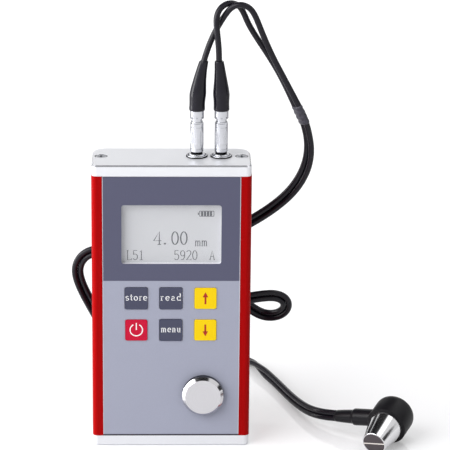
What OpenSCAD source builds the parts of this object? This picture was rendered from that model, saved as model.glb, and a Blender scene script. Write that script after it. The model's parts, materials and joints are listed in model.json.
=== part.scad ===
// Handheld ultrasonic thickness gauge with a two-cable angle probe.
// Millimetres. +Z is up, +Y points to the back, +X to the right of the front panel.
// The origin is the centre of the base, on the surface that the gauge stands on.

/* [Case] */
// Width over the two side rails
case_w = 76.2; // [74:0.2:82]
// Depth from the rails to the back
case_d = 30; // [29.5:0.5:34]
// Length of the extruded body between the end caps
body_len = 132; // [130:1:140]
// Thickness of each end cap
cap_t = 5.4; // [4.6:0.1:6.5]
// Wall of the extruded body
wall = 2; // [1.8:0.1:2.3]
// Width of each rail beside the front panel
rail_w = 5.1; // [4.6:0.1:5.8]
// Depth of the front panel's recess between the rails
panel_recess = 1; // [0.95:0.05:1.2]
// Radius of the two front edges
front_edge_r = 2.5; // [1.5:0.1:2.8]
// Radius of the two back edges
back_edge_r = 7; // [5:0.5:8]
// Set-back of the end caps from the sides of the body
cap_inset = 0.2; // [0.1:0.1:1]
// Bevel round the outer edge of each end cap
cap_bevel = 0.8; // [0.4:0.1:1.2]

/* [End cap screws] */
// Thread diameter of the four end cap screws
screw_d = 3; // [2.6:0.1:3.2]
// Head diameter of the end cap screws
screw_head_d = 6; // [5.6:0.1:6.4]
// Length of the end cap screws
screw_len = 14; // [12:0.5:18]
// Distance of each screw from the side of the body
screw_edge = 4.5; // [4.3:0.1:5]
// Depth position of the screws and the sockets, from mid-depth
hole_line_y = 1.2; // [0:0.1:2]

/* [Front panel] */
// Thickness of the keypad's printed circuit layer
circuit_t = 0.2; // [0.15:0.05:0.25]
// Thickness of the spacer that holds the snap domes
spacer_t = 0.45; // [0.45:0.05:0.5]
// Thickness of the printed front film
overlay_t = 0.25; // [0.2:0.05:0.25]
// Gap between the panel layers and the rails
panel_clear = 0.1; // [0.05:0.05:0.3]

/* [Display] */
// Width of the display window
window_w = 47.6; // [44:0.2:49]
// Height of the display window
window_h = 29.4; // [27:0.2:31]
// Distance of the window's centre below the top of the gauge
window_drop = 34.3; // [32:0.1:36]
// Corner radius of the window
window_r = 1.2; // [0.8:0.1:2]
// Width of the bezel that lines the window
bezel_w = 1.6; // [1.2:0.1:2]
// Thickness of the clear pane
pane_t = 1; // [0.8:0.1:1.3]
// Thickness of the display glass
lcd_t = 1.8; // [1.6:0.1:2]
// Thickness of the backlight behind the glass
backlight_t = 2.2; // [2:0.1:2.4]

/* [Keys] */
// Side of the three dark keys
key_size = 11.1; // [10:0.1:12]
// Side of the coloured keys
colour_key_size = 10.6; // [10:0.1:12]
// Corner radius of the keys
key_r = 1; // [0.6:0.1:1.6]
// Distance between the key columns
key_pitch_x = 16.6; // [15.5:0.1:18]
// Distance between the key rows
key_pitch_z = 16.2; // [15.5:0.1:17]
// Sideways position of the middle column
key_mid_x = -0.2; // [-1:0.1:1]
// Distance of the lower key row below the window's centre
key_drop = 48.3; // [47:0.1:49]
// Height of the keys above the front film
key_emboss = 0.3; // [0.2:0.05:0.4]
// Travel of a key
key_travel = 0.3; // [0.25:0.05:0.3]
// Gap round each key
key_gap = 0.15; // [0.1:0.05:0.25]
// Diameter of the snap domes
dome_d = 7; // [5:0.5:8]

/* [Test block] */
// Diameter of the steel test block
block_d = 20.1; // [18:0.1:22]
// Thickness of the test block
block_t = 4; // [4:0.5:5]
// Sideways position of the test block
block_x = 15.4; // [13:0.2:18]
// Height of the test block's centre above the base
block_z = 26.9; // [24:0.1:30]
// Bevel of the test block's rim
block_bevel = 0.9; // [0.4:0.1:1.4]

/* [Sockets and plugs] */
// Distance of the right socket from the side of the body
socket_edge = 14.4; // [14:0.1:15]
// Distance between the two sockets
socket_pitch = 11.6; // [11.4:0.1:12.4]
// Diameter of a socket's flange
flange_d = 10; // [9:0.2:10.6]
// Height of a socket's flange
flange_h = 1.6; // [1.4:0.1:2]
// Thickness of the gasket under a socket's flange
gasket_t = 0.5; // [0.4:0.05:0.6]
// Diameter of a socket's threaded shank
shank_d = 7; // [6.8:0.1:7.4]
// Diameter of a plug's release sleeve
plug_d = 6.4; // [6.2:0.1:6.8]
// Diameter of a plug's core
core_d = 5; // [4.8:0.1:5.2]
// Running gap between a plug's core and its sleeve
sleeve_gap = 0.1; // [0.08:0.02:0.14]
// Length of the release sleeve
sleeve_len = 15.6; // [14:0.1:16]
// Pull of the release sleeve
sleeve_travel = 1; // [0.6:0.1:1.2]
// Diameter of a boot at its thick end
boot_d = 8; // [7.4:0.1:8.4]
// Diameter of a boot at its tip
boot_tip_d = 4.4; // [4:0.1:5]
// Length of a boot
boot_len = 24; // [22:0.5:25]

/* [Board and cells] */
// Thickness of the main board
board_t = 1.6; // [1.4:0.1:1.8]
// Gap between the board and its slots
board_clear = 0.1; // [0.08:0.02:0.2]
// Diameter of a cell
cell_d = 14.5; // [14:0.1:14.5]
// Length of a cell with its cap
cell_len = 50.5; // [49.5:0.1:50.7]
// Thickness of the cell contacts
contact_t = 0.4; // [0.3:0.05:0.5]
// Width of the cover's opening in the back
cover_w = 38; // [36:0.5:40]
// Height of the cover's opening in the back
cover_h = 65; // [64:0.5:67]
// Gap round the cover
cover_gap = 0.2; // [0.1:0.05:0.3]
// Corner radius of the cover's opening
cover_r = 3; // [2:0.5:4]
// Thread diameter of the cover's screws
cover_screw_d = 2; // [1.8:0.1:2.2]
// Head diameter of the cover's screws
cover_screw_head_d = 3.8; // [3.4:0.1:4]
// Length of the cover's screws
cover_screw_len = 6; // [5:0.5:6.5]
// Side of the processor
chip_side = 14; // [10:1:16]
// Width of the pulser's shield can
can_w = 22; // [18:1:26]
// Height of the pulser's shield can
can_h = 16; // [12:1:18]
// Depth of the pulser's shield can
can_t = 4; // [3:0.5:5]

/* [Leads] */
// Diameter of each of the two cables
lead_d = 2.9; // [2.6:0.1:2.9]
// Length of the shrink sleeve where the cables join
joint_len = 7.6; // [7:0.1:7.6]

/* [Probe] */
// Diameter of the probe's contact face
face_d = 12; // [11:0.2:13]
// Diameter of the steel body at the cap
probe_d = 16.8; // [16:0.2:18]
// Length of the steel body from face to cap
probe_len = 15; // [13:0.5:18]
// Diameter of the moulded cap
probe_cap_d = 20; // [19:0.2:22]
// Length of the moulded cap
probe_cap_len = 15; // [13:0.5:17]
// Diameter of the strain relief at the cap
relief_d = 8.4; // [7.6:0.2:9]
// Diameter of the strain relief's thin sleeve
relief_tip_d = 7; // [6.6:0.2:7.4]
// Thickness of the sound barrier between the two delay blocks
barrier_t = 0.6; // [0.4:0.1:1]

/* [Hidden] */
$fn = 64;
eps = 0.02;

// Planes of the case
top_z = body_len + 2 * cap_t;
window_z = top_z - window_drop;
key_row_z = window_z - key_drop;
front_y = -case_d / 2;
back_y = case_d / 2;
floor_y = front_y + panel_recess;
front_in_y = floor_y + wall;
back_in_y = back_y - wall;
side_in_x = case_w / 2 - wall;
panel_half = case_w / 2 - rail_w;
screw_x = case_w / 2 - screw_edge;
boss_r = screw_d / 2 + 1.7;
cap_w = case_w - 2 * cap_inset;
cap_d = case_d - 0.4;

// Planes of the front panel's layers, from the recess outwards
circuit_y = floor_y - circuit_t;
spacer_y = circuit_y - spacer_t;
overlay_y = spacer_y - overlay_t;
panel_w = 2 * (panel_half - panel_clear);
panel_z0 = cap_t + 0.4;
panel_h = body_len - 0.6;

// Keys by place: name order is store, read, up, power, menu, down
key_cols = [-1, 0, 1, -1, 0, 1];
key_rows = [1, 1, 1, 0, 0, 0];
key_sizes = [key_size, key_size, colour_key_size, colour_key_size, key_size, colour_key_size];
function key_x(i) = key_mid_x + key_cols[i] * key_pitch_x;
function key_z(i) = key_row_z + key_rows[i] * key_pitch_z;
dome_gap = 0.03;
dome_h = spacer_t - key_travel - dome_gap;

// Display and board planes
bezel_out_w = window_w + 2 * bezel_w;
bezel_out_h = window_h + 2 * bezel_w;
lcd_w = bezel_out_w + 4;
lcd_h = bezel_out_h + 4;
backlight_y = front_in_y + lcd_t;
board_y = backlight_y + backlight_t;
board_back_y = board_y + board_t;
board_w = 2 * (side_in_x - 0.3);
board_z0 = cap_t + 2;
board_h = body_len - 12;
rib_t = 1.2;
rib_len = 1.8;

// Cells, tray and cover
cell_x = cell_d / 2 + 0.3;
cell_y = back_in_y - 0.4 - cell_d / 2;
bay_w = 4 * cell_x + 0.6;
bay_h = cell_len + 2 * contact_t + 0.093 * cell_len;
bay_z0 = cap_t + 9.6;
bay_y = cell_y - cell_d / 2 - 0.3;
spring_len = bay_h - cell_len - 2 * contact_t;
cover_z = bay_z0 + bay_h / 2;
cover_screw_z = cover_h / 2 - 2.3;
tray_w = cover_w + 5;
tray_h = cover_h + 4;

// Sockets and plugs, heights above the base
plug_xs = [case_w / 2 - socket_edge - socket_pitch, case_w / 2 - socket_edge];
nose_z = top_z - 7.4;
flange_rim = 0.3;
sleeve_z = top_z + flange_h + 0.1;
nut_z = sleeve_z + sleeve_len + 1.7;
boot_z = nut_z + 3.8;
boot_top_z = boot_z + boot_len;
boot_leans = [3.1, -1.3];

// Probe pose: it lies on the rims of its face and cap
probe_tilt = atan((probe_cap_d - face_d) / 2 / probe_len);
probe_turn = 62;
probe_roll = 9;
probe_face = [98.3, -26.7, face_d / 2 * cos(probe_tilt)];
neck_r = probe_d / 2 - 1.2;
neck_len = 6;
face_bore_r = face_d / 2 - 0.5;
delay_len = 12;
crystal_t = 0.6;
exit_s = probe_len + 6.5;
relief_start = neck_r + 0.4;
relief_step = 20.3;
relief_end = 30.2;

// Routes of the leads: control points of smooth curves, from the plugs to the probe
route_a = [
    [plug_xs[0] + boot_leans[0], hole_line_y, boot_top_z],
    [17.2, 2.6, 196], [20, 3.9, 202.4], [22.9, 3.9, 207.8], [25.6, 2.8, 212.4],
    [28.4, 1.5, 216.1], [32.8, 0.8, 217.4], [37, 1, 215.4], [39.4, 1.8, 211.2],
    [41.4, 2.9, 206], [44, 4.2, 199.4], [48, 5.5, 190.2], [53.4, 6.7, 180], [60.7, 7.9, 166]];
route_b = [
    [plug_xs[1] + boot_leans[1], hole_line_y, boot_top_z],
    [22.2, 0.4, 196.6], [21.4, -0.2, 203.2], [20.9, 0.4, 208], [21, 1.2, 211.8],
    [23, 2.6, 215.5], [26.9, 4, 217.4], [31.2, 5.2, 216.2], [33.8, 6, 212.4],
    [35.6, 6.8, 207.4], [39, 7.6, 201.2], [45.6, 8.9, 191.2], [52.5, 10, 179.6],
    [59.1, 10.1, 165.2]];
joint_from = [59.9, 9, 165.6];
pair_from = [63.4, 9.6, 158.4];
route_pair = [
    pair_from, [65.2, 10.6, 152.6], [66.8, 12.2, 144], [65.8, 14.4, 133.6], [61, 17, 122.8],
    [53, 19.4, 113.4], [39, 19.4, 103.6], [22, 17.6, 96], [0, 16.8, 91], [-18, 16.8, 89.4],
    [-30, 17, 89.6], [-37.6, 17.3, 89.8], [-43.2, 17.7, 86.8], [-46, 18.4, 81.4],
    [-45.8, 19.2, 75.4], [-43, 20.6, 67.4], [-37.6, 24.4, 55.4], [-30.6, 30.4, 40], [-24, 36, 22.6],
    [-17, 40.6, 8.6], [-9.4, 42.8, 1.6], [-0.6, 43.2, 1], [7.6, 41.6, 8.4], [12, 39, 24],
    [15, 35.6, 41.6], [18.8, 32.4, 55.4], [24.6, 29.8, 62.4], [32, 28.6, 61.8], [38.2, 28.6, 57],
    [43, 28.6, 53.4], [47.8, 28, 51.8], [52.6, 26, 52.8], [56.2, 23.4, 55.8], [57.5, 20.7, 60],
    [56.1, 18.4, 64.2], [51.4, 17, 66.8], [44, 16.8, 66.2], [33, 16.8, 64.2], [20, 16.8, 63],
    [4, 18.6, 60.4], [-7, 24, 52], [-12, 32, 38], [-13, 40, 22], [-10, 48, 8.8], [-2.4, 57, 1.2],
    [10, 64, 1.7], [20, 73, 1.6], [24, 86, 1.6], [17, 99, 1.6], [2, 105, 1.6], [-15, 102, 1.6],
    [-25, 90, 1.6], [-24, 75, 1.6], [-14, 64, 2.9], [0, 60, 6], [14, 61, 4.6], [25.6, 67, 1.4],
    [29.4, 75.6, 1.6], [28.6, 82.4, 1.6], [28.6, 88.6, 1.6], [30.2, 93.4, 1.6],
    [34, 96.3, 1.7], [38.8, 96.3, 1.8], [42.7, 93.4, 2.1], [44.8, 88.4, 2.7],
    [47, 81, 3.1], [50, 73.2, 3.1], [55, 59.8, 3.1], [60.4, 42.4, 3.2], [65.6, 27.4, 3.8],
    [70.4, 17, 4.8], [76.2, 10.6, 5.8], [82.33, 6.69, 6.78]];

// A smooth curve through a route: knots of a uniform cubic B-spline with mirrored ends
function ends(p) = concat([2 * p[0] - p[1]], p, [2 * p[len(p) - 1] - p[len(p) - 2]]);
function knots(p) = let (e = ends(p))
    [for (i = [1:len(p)]) (e[i - 1] + 4 * e[i] + e[i + 1]) / 6];
function unit(v) = v / norm(v);
function tangents(p) = let (e = ends(p))
    [for (i = [1:len(p)]) unit(e[i + 1] - e[i - 1])];

// Which way the two cables lie beside each other: flat on the floor, turned to the
// front behind the case, one behind the other near the shrink sleeve, and on edge,
// one over the other, on the last stretch to the probe
function share(z, low, high) = min(1, max(0, (z - low) / (high - low)));
function mix(a, b, t) = a + (b - a) * t;
function facing(z) = z < 60
    ? mix([0, 0, 1], [0, 1, 0], share(z, 4, 24))
    : mix([0, 1, 0], [0.82, 0.57, 0], share(z, 112, 150));
function on_edge(c) = share(c[0], 41, 50) * share(c[2], 20, 12);
function side_of(t, c) = let (e = on_edge(c), f = facing(c[2]))
    unit(cross(t, e > 0 ? mix(f, unit(cross([0, 0, 1], t)), e) : f));

// Rings of a swept solid: each ring is the section's points set square to the line
function ring(c, t, s, section) = let (n = cross(s, t))
    [for (q = section) c + q[0] * s + q[1] * n];
round_section = [for (k = [0:7]) lead_d / 2 / cos(22.5) * [cos(45 * k + 22.5), sin(45 * k + 22.5)]];
pair_section = [for (q = [[1, 0.45], [0.55, 1], [-0.55, 1], [-1, 0.45],
    [-1, -0.45], [-0.55, -1], [0.55, -1], [1, -0.45]]) [q[0] * lead_d, q[1] * lead_d / 2]];

module skin(rings) {
    n = len(rings[0]);
    m = len(rings);
    points = [for (r = rings) each r];
    sides = [for (i = [0:m - 2], k = [0:n - 1])
        [i * n + k, i * n + (k + 1) % n, (i + 1) * n + (k + 1) % n, (i + 1) * n + k]];
    first = [[for (k = [0:n - 1]) n - 1 - k]];
    last = [[for (k = [0:n - 1]) (m - 1) * n + k]];
    polyhedron(points, concat(first, sides, last), convexity = 8);
}

module lead(route) {
    c = knots(route);
    t = tangents(route);
    skin([for (i = [0:len(c) - 1]) ring(c[i], t[i], side_of(t[i], c[i]), round_section)]);
}

// Flat outline with its own radius at the front and at the back
module outline(w, d, rf, rb) {
    translate([-w / 2 + rb, -d / 2 + rf]) square([w - 2 * rb, d - rf]);
    translate([-w / 2, -d / 2 + rf]) square([w, d - rf - rb]);
    translate([-w / 2 + rf, -d / 2]) square([w - 2 * rf, d - rb]);
    for (s = [-1, 1]) {
        translate([s * (w / 2 - rf), -d / 2 + rf]) circle(rf);
        translate([s * (w / 2 - rb), d / 2 - rb]) circle(rb);
    }
}

// Rounded plate facing the front: width along X, height along Z, from y0 to y0 + t
module plate(w, h, r, t, x, y0, z) {
    translate([x, y0 + t, z]) rotate([90, 0, 0]) linear_extrude(t) {
        square([w - 2 * r, h], center = true);
        square([w, h - 2 * r], center = true);
        for (sx = [-1, 1], sz = [-1, 1])
            translate([sx * (w / 2 - r), sz * (h / 2 - r)]) circle(r, $fn = 32);
    }
}

module rod_y(d, y0, y1, x, z) {
    translate([x, y0, z]) rotate([-90, 0, 0]) cylinder(d = d, h = y1 - y0);
}

// Countersunk cross-head screw, head up, the top of the head at z = 0
module flat_screw(d, head_d, length) {
    head_h = (head_d - d) / 2;
    difference() {
        union() {
            translate([0, 0, -head_h]) cylinder(d1 = d, d2 = head_d, h = head_h);
            translate([0, 0, -length]) cylinder(d = d, h = length - head_h / 2);
        }
        for (a = [0, 90]) rotate(a)
            translate([-head_d * 0.28, -head_d * 0.06, -head_h * 0.8])
                cube([head_d * 0.56, head_d * 0.12, head_h]);
    }
}

// Its hole, with a cone parallel to the head's
seat_clear = 0.06;
module flat_screw_hole(d, head_d, length) {
    head_h = (head_d - d) / 2;
    over = 0.5;
    translate([0, 0, -head_h])
        cylinder(d1 = d + seat_clear, d2 = head_d + seat_clear + 2 * over, h = head_h + over);
    translate([0, 0, -length]) cylinder(d = d + 0.2, h = length);
}

// End cap screws stand a little below the cap's surface
screw_sink = 0.2;
cover_sink = 0.1;

// Extruded aluminium body: closed tube with rails, screw channels and board slots
module body_section() {
    inner_r = max(1, back_edge_r - wall);
    difference() {
        outline(case_w, case_d, front_edge_r, back_edge_r);
        translate([-panel_half, front_y - 1]) square([2 * panel_half, panel_recess + 1]);
        difference() {
            translate([0, (front_in_y + back_in_y) / 2])
                outline(2 * side_in_x, back_in_y - front_in_y, 0.8, inner_r);
            for (s = [-1, 1]) {
                translate([s * screw_x, hole_line_y]) circle(boss_r);
                translate([s * (screw_x + screw_edge / 2), hole_line_y])
                    square([screw_edge, 2 * boss_r], center = true);
                for (y = [board_y - board_clear - rib_t, board_back_y + board_clear])
                    translate([s * (side_in_x - rib_len / 2) - rib_len / 2, y])
                        square([rib_len, rib_t]);
            }
        }
        for (s = [-1, 1]) translate([s * screw_x, hole_line_y]) circle(d = screw_d);
    }
}

module case_shell() color("#c01818") difference() {
    translate([0, 0, cap_t]) linear_extrude(body_len, convexity = 8) body_section();
    plate(bezel_out_w, bezel_out_h, window_r + 0.4, wall + 1, 0, floor_y - 0.5, window_z);
    plate(cover_w, cover_h, cover_r, wall + 2, 0, back_in_y - 1, cover_z);
    plate(16, 1.6, 0.5, wall + 1, key_mid_x, floor_y - 0.5, key_row_z - key_size);
}

module end_cap() difference() {
    hull() {
        linear_extrude(cap_t - cap_bevel)
            outline(cap_w, cap_d, front_edge_r, back_edge_r, $fn = 32);
        linear_extrude(cap_t)
            outline(cap_w - 2 * cap_bevel, cap_d - 2 * cap_bevel, front_edge_r - cap_bevel,
                back_edge_r - cap_bevel, $fn = 32);
    }
    for (s = [-1, 1]) translate([s * screw_x, hole_line_y, cap_t - screw_sink])
        flat_screw_hole(screw_d, screw_head_d, cap_t + 1);
}

module top_cap() color("#d9dade") difference() {
    translate([0, 0, top_z - cap_t]) end_cap();
    for (x = plug_xs) translate([x, hole_line_y, top_z - cap_t - 1])
        cylinder(d = shank_d + 0.2, h = cap_t + 2);
}

module bottom_cap() color("#d9dade")
    translate([0, 0, cap_t]) mirror([0, 0, 1]) end_cap();

module top_screws() color("#b4b6ba")
    for (s = [-1, 1]) translate([s * screw_x, hole_line_y, top_z - screw_sink])
        flat_screw(screw_d, screw_head_d, screw_len);

module bottom_screws() color("#b4b6ba")
    for (s = [-1, 1]) translate([s * screw_x, hole_line_y, screw_sink]) mirror([0, 0, 1])
        flat_screw(screw_d, screw_head_d, screw_len);

// One layer of the front panel with its display window
module panel_layer(y0, t, grow) difference() {
    plate(panel_w, panel_h, 0.4, t, 0, y0, panel_z0 + panel_h / 2);
    plate(window_w + grow, window_h + grow, window_r, t + 1, 0, y0 - 0.5, window_z);
}

module keypad_circuit() color("#3c6e4a") panel_layer(circuit_y, circuit_t, 0.4);

module keypad_spacer() color("#c9c7ba") difference() {
    panel_layer(spacer_y, spacer_t, 0.4);
    for (i = [0:5])
        plate(key_sizes[i] + 2 * key_gap, key_sizes[i] + 2 * key_gap, key_r, spacer_t + 1,
            key_x(i), spacer_y - 0.5, key_z(i));
}

module front_overlay() color("#a8aabc") difference() {
    panel_layer(overlay_y, overlay_t, 0);
    for (i = [0:5])
        plate(key_sizes[i] + 2 * key_gap, key_sizes[i] + 2 * key_gap, key_r, overlay_t + 1,
            key_x(i), overlay_y - 0.5, key_z(i));
}

// Pressed-metal dome under each key, a shallow step on the circuit layer
module snap_domes() color("#c8ccd0")
    for (i = [0:5]) {
        rod_y(dome_d, circuit_y - dome_h / 2, circuit_y, key_x(i), key_z(i));
        rod_y(dome_d * 0.6, circuit_y - dome_h, circuit_y - dome_h / 2, key_x(i), key_z(i));
    }

module key(i) plate(key_sizes[i], key_sizes[i], key_r, overlay_t + key_emboss,
    key_x(i), overlay_y - key_emboss, key_z(i));
module key_store() color("#565870") key(0);
module key_read() color("#565870") key(1);
module key_up() color("#f6cf1e") key(2);
module key_power() color("#c4143a") key(3);
module key_menu() color("#565870") key(4);
module key_down() color("#f6cf1e") key(5);

// Display: bezel in the case's opening, clear pane, glass and backlight
module display_bezel() color("#8e909c") difference() {
    plate(bezel_out_w - 0.1, bezel_out_h - 0.1, window_r + 0.4, wall, 0, floor_y, window_z);
    plate(window_w + 0.4, window_h + 0.4, window_r, wall + 1, 0, floor_y - 0.5, window_z);
}
module display_pane() color("#e4ebee", 0.4)
    plate(window_w + 0.3, window_h + 0.3, window_r, pane_t, 0, floor_y + 0.3, window_z);
module lcd_glass() color("#cfd0d6")
    plate(lcd_w, lcd_h, 0.6, lcd_t, 0, front_in_y, window_z);
module lcd_backlight() color("#f2f2f0")
    plate(lcd_w, lcd_h, 0.6, backlight_t, 0, backlight_y, window_z);

module test_block() color("#c9cacc")
    translate([block_x, overlay_y, block_z]) rotate([90, 0, 0]) {
        cylinder(d = block_d, h = block_t - block_bevel);
        translate([0, 0, block_t - block_bevel])
            cylinder(d1 = block_d, d2 = block_d - 2 * block_bevel, h = block_bevel);
    }

// Main board in the body's slots, with its two large parts on the back
module main_board() color("#1f6b3a") translate([-board_w / 2, board_y, board_z0])
    cube([board_w, board_t, board_h]);
module processor_chip() color("#26262a")
    plate(chip_side, chip_side, 0.4, board_t, -chip_side, board_back_y, window_z);
module pulser_module() color("#b9bbb8")
    plate(can_w, can_h, 0.6, can_t, can_w * 0.7, board_back_y, window_z);

// Cell tray between the board and the back wall, open to the back
module cell_tray() color("#2c2c30") difference() {
    plate(tray_w, tray_h, 1, back_in_y - board_back_y, 0, board_back_y, cover_z);
    translate([-bay_w / 2, bay_y, bay_z0]) cube([bay_w, back_in_y - bay_y + 1, bay_h]);
    for (s = [-1, 1])
        rod_y(cover_screw_d, back_y - cover_screw_len - 1, back_in_y + 1, 0, cover_z + s * cover_screw_z);
}

module cell(flip) {
    nub = 1.4;
    translate([0, 0, flip ? cell_len : 0]) mirror([0, 0, flip ? 1 : 0]) {
        cylinder(d = cell_d, h = cell_len - nub);
        translate([0, 0, cell_len - nub - eps]) cylinder(d = 5.4, h = nub + eps);
    }
}
low_z = bay_z0 + contact_t;
module cell_left() color("#3b6fb0") translate([-cell_x, cell_y, low_z + spring_len]) cell(false);
module cell_right() color("#3b6fb0") translate([cell_x, cell_y, low_z]) cell(true);

// Conical contact springs: a wire swept round a narrowing coil
spring_wire = 0.062 * cell_d;
function coil_at(a, h) = let (r = cell_d * mix(0.32, 0.17, a / 1080))
    [r * cos(a), r * sin(a), spring_wire / 2 + (h - spring_wire) * a / 1080];
module spring(h) {
    steps = [for (a = [0:36:1080]) a];
    skin([for (a = steps) let (c = coil_at(a, h), t = unit(coil_at(a + 1, h) - coil_at(a - 1, h)),
        s = unit(cross(t, [0, 0, 1])), n = cross(s, t))
        [for (k = [0:5]) c + spring_wire / 2 * (cos(60 * k) * s + sin(60 * k) * n)]]);
}
module cell_springs() color("#c5c8cc") {
    translate([-cell_x, cell_y, low_z]) spring(spring_len);
    translate([cell_x, cell_y, bay_z0 + bay_h - contact_t]) mirror([0, 0, 1]) spring(spring_len);
}
contact_w = 0.76 * cell_d;
module contact(w, x, z)
    translate([x - w / 2, cell_y - contact_w / 2, z]) cube([w, contact_w, contact_t]);
module bridge_contact() color("#c5c8cc") contact(2 * cell_x + contact_w, 0, bay_z0);
module positive_contact() color("#c5c8cc") contact(contact_w, -cell_x, bay_z0 + bay_h - contact_t);
module negative_contact() color("#c5c8cc") contact(contact_w, cell_x, bay_z0 + bay_h - contact_t);

// Cover of the cells, flush with the back and held by two screws into the tray
module cell_cover() color("#2c2c30") difference() {
    plate(cover_w - 2 * cover_gap, cover_h - 2 * cover_gap, cover_r - cover_gap, wall, 0, back_in_y, cover_z);
    for (s = [-1, 1]) translate([0, back_y - cover_sink, cover_z + s * cover_screw_z]) rotate([-90, 0, 0])
        flat_screw_hole(cover_screw_d, cover_screw_head_d, wall + 1);
}
module cover_screws() color("#b4b6ba")
    for (s = [-1, 1]) translate([0, back_y - cover_sink, cover_z + s * cover_screw_z]) rotate([-90, 0, 0])
        flat_screw(cover_screw_d, cover_screw_head_d, cover_screw_len);

// Coaxial sockets in the top cap, each on a gasket, with its nut, insulator and pin
module socket(x) translate([x, hole_line_y, top_z]) difference() {
    union() {
        translate([0, 0, gasket_t]) cylinder(d = flange_d, h = flange_rim + eps);
        translate([0, 0, gasket_t + flange_rim])
            cylinder(d1 = flange_d, d2 = shank_d + 0.8, h = flange_h - gasket_t - flange_rim);
        translate([0, 0, -cap_t - 5]) cylinder(d = shank_d, h = cap_t + 5 + gasket_t + eps);
    }
    translate([0, 0, -8]) cylinder(d = core_d + 0.2, h = 8 + flange_h + 1);
    translate([0, 0, -cap_t - 6]) cylinder(d = 3, h = cap_t + 6);
}
module socket_left() color("#c8cacd") socket(plug_xs[0]);
module socket_right() color("#c8cacd") socket(plug_xs[1]);
module socket_gaskets() color("#1d1d20")
    for (x = plug_xs) translate([x, hole_line_y, top_z]) difference() {
        cylinder(d = flange_d + 0.3, h = gasket_t);
        translate([0, 0, -1]) cylinder(d = shank_d, h = gasket_t + 2);
    }
module socket_nuts() color("#b4b6ba")
    for (x = plug_xs) translate([x, hole_line_y, top_z - cap_t - 2]) difference() {
        cylinder(d = 10.4, h = 2, $fn = 6);
        translate([0, 0, -1]) cylinder(d = shank_d, h = 4);
    }
module socket_insulators() color("#efefec")
    for (x = plug_xs) translate([x, hole_line_y, top_z - cap_t - 5]) difference() {
        cylinder(d = 3, h = cap_t + 5 - 8);
        translate([0, 0, -1]) cylinder(d = 0.9, h = cap_t);
    }
module socket_pins() color("#d8b25a")
    for (x = plug_xs) translate([x, hole_line_y, top_z - cap_t - 8]) cylinder(d = 0.9, h = cap_t + 4);

// Push-pull plugs: core, sliding release sleeve, collet nut and boot
module plug_core(x) translate([x, hole_line_y, 0]) difference() {
    union() {
        translate([0, 0, nose_z]) cylinder(d = core_d, h = nut_z - nose_z);
        translate([0, 0, nut_z]) cylinder(d = core_d - 0.8, h = 5);
    }
    translate([0, 0, nose_z - 1]) cylinder(d = 1.2, h = 6);
}
module plug_left_core() color("#b9bcc0") plug_core(plug_xs[0]);
module plug_right_core() color("#b9bcc0") plug_core(plug_xs[1]);

module release_sleeve(x) translate([x, hole_line_y, sleeve_z]) difference() {
    union() {
        cylinder(d = plug_d - 0.5, h = 0.6);
        translate([0, 0, 0.6]) cylinder(d = plug_d, h = sleeve_len - 1.2);
        translate([0, 0, sleeve_len - 0.6]) cylinder(d = plug_d - 0.5, h = 0.6);
    }
    translate([0, 0, -1]) cylinder(d = core_d + 2 * sleeve_gap, h = sleeve_len + 2);
    for (z = [2.4, sleeve_len - 2.6]) translate([0, 0, z]) difference() {
        cylinder(d = plug_d + 1, h = 0.4);
        translate([0, 0, -1]) cylinder(d = plug_d - 0.4, h = 3);
    }
}
module plug_left_sleeve() color("#c8cacd") release_sleeve(plug_xs[0]);
module plug_right_sleeve() color("#c8cacd") release_sleeve(plug_xs[1]);

module collet_nut(x) translate([x, hole_line_y, nut_z]) difference() {
    union() {
        cylinder(d = plug_d + 0.4, h = 3.8);
        translate([0, 0, 3.8 - eps]) cylinder(d = core_d + 0.8, h = 3.4);
    }
    translate([0, 0, -1]) cylinder(d = core_d - 0.8, h = 10);
    for (a = [0:45:135]) rotate(a) translate([-5, -0.4, -eps]) cube([10, 0.8, 0.9]);
}
module plug_left_nut() color("#c8cacd") collet_nut(plug_xs[0]);
module plug_right_nut() color("#c8cacd") collet_nut(plug_xs[1]);

// Rubber boot that bends towards its cable: share of the length, radius
boot_steps = [[0, 0.96], [0.12, 0.95], [0.24, 0.98], [0.31, 1.02], [0.37, 1], [0.6, 0.81], [0.8, 0.67],
    [1, 0]];
module boot(i) {
    r0 = boot_d / 2 - 0.08;
    r1 = boot_tip_d / 2;
    difference() {
        skin([for (s = boot_steps)
            [for (k = [0:19])
                [plug_xs[i] + boot_leans[i] * s[0] * s[0] + (s[1] == 0 ? r1 : r0 * s[1]) * cos(18 * k),
                 hole_line_y + (s[1] == 0 ? r1 : r0 * s[1]) * sin(18 * k),
                 boot_z + boot_len * s[0]]]]);
        translate([plug_xs[i], hole_line_y, boot_z - 1]) cylinder(d = core_d + 0.8, h = 4.6);
    }
}
module boot_left() color("#222226") boot(0);
module boot_right() color("#222226") boot(1);

// The two cables, the shrink sleeve that joins them, and the pair from there on
module lead_left() color("#1f1f23") lead(route_a);
module lead_right() color("#1f1f23") lead(route_b);
module lead_joint() color("#26262a") {
    t0 = unit(pair_from - joint_from);
    t1 = tangents(route_pair)[0];
    grown = [for (q = pair_section) [q[0] + 0.5 * sign(q[0]), q[1] * 1.35]];
    spots = [0, 0.5, 1];
    skin([for (k = spots) let (c = mix(joint_from, pair_from, k), t = unit(mix(t0, t1, k)))
        ring(c, t, side_of(t, c), grown)]);
}
module lead_pair() color("#1f1f23") {
    c = knots(route_pair);
    t = tangents(route_pair);
    skin([for (i = [0:len(c) - 1]) ring(c[i], t[i], side_of(t[i], c[i]), pair_section)]);
}

// The probe in its own frame: face at z = 0, cap above it, cable leaving along +Y
module place_probe() translate(probe_face) rotate([0, 0, probe_turn])
    rotate([0, 90 - probe_tilt, 0]) rotate([0, 0, -probe_roll]) children();

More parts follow.
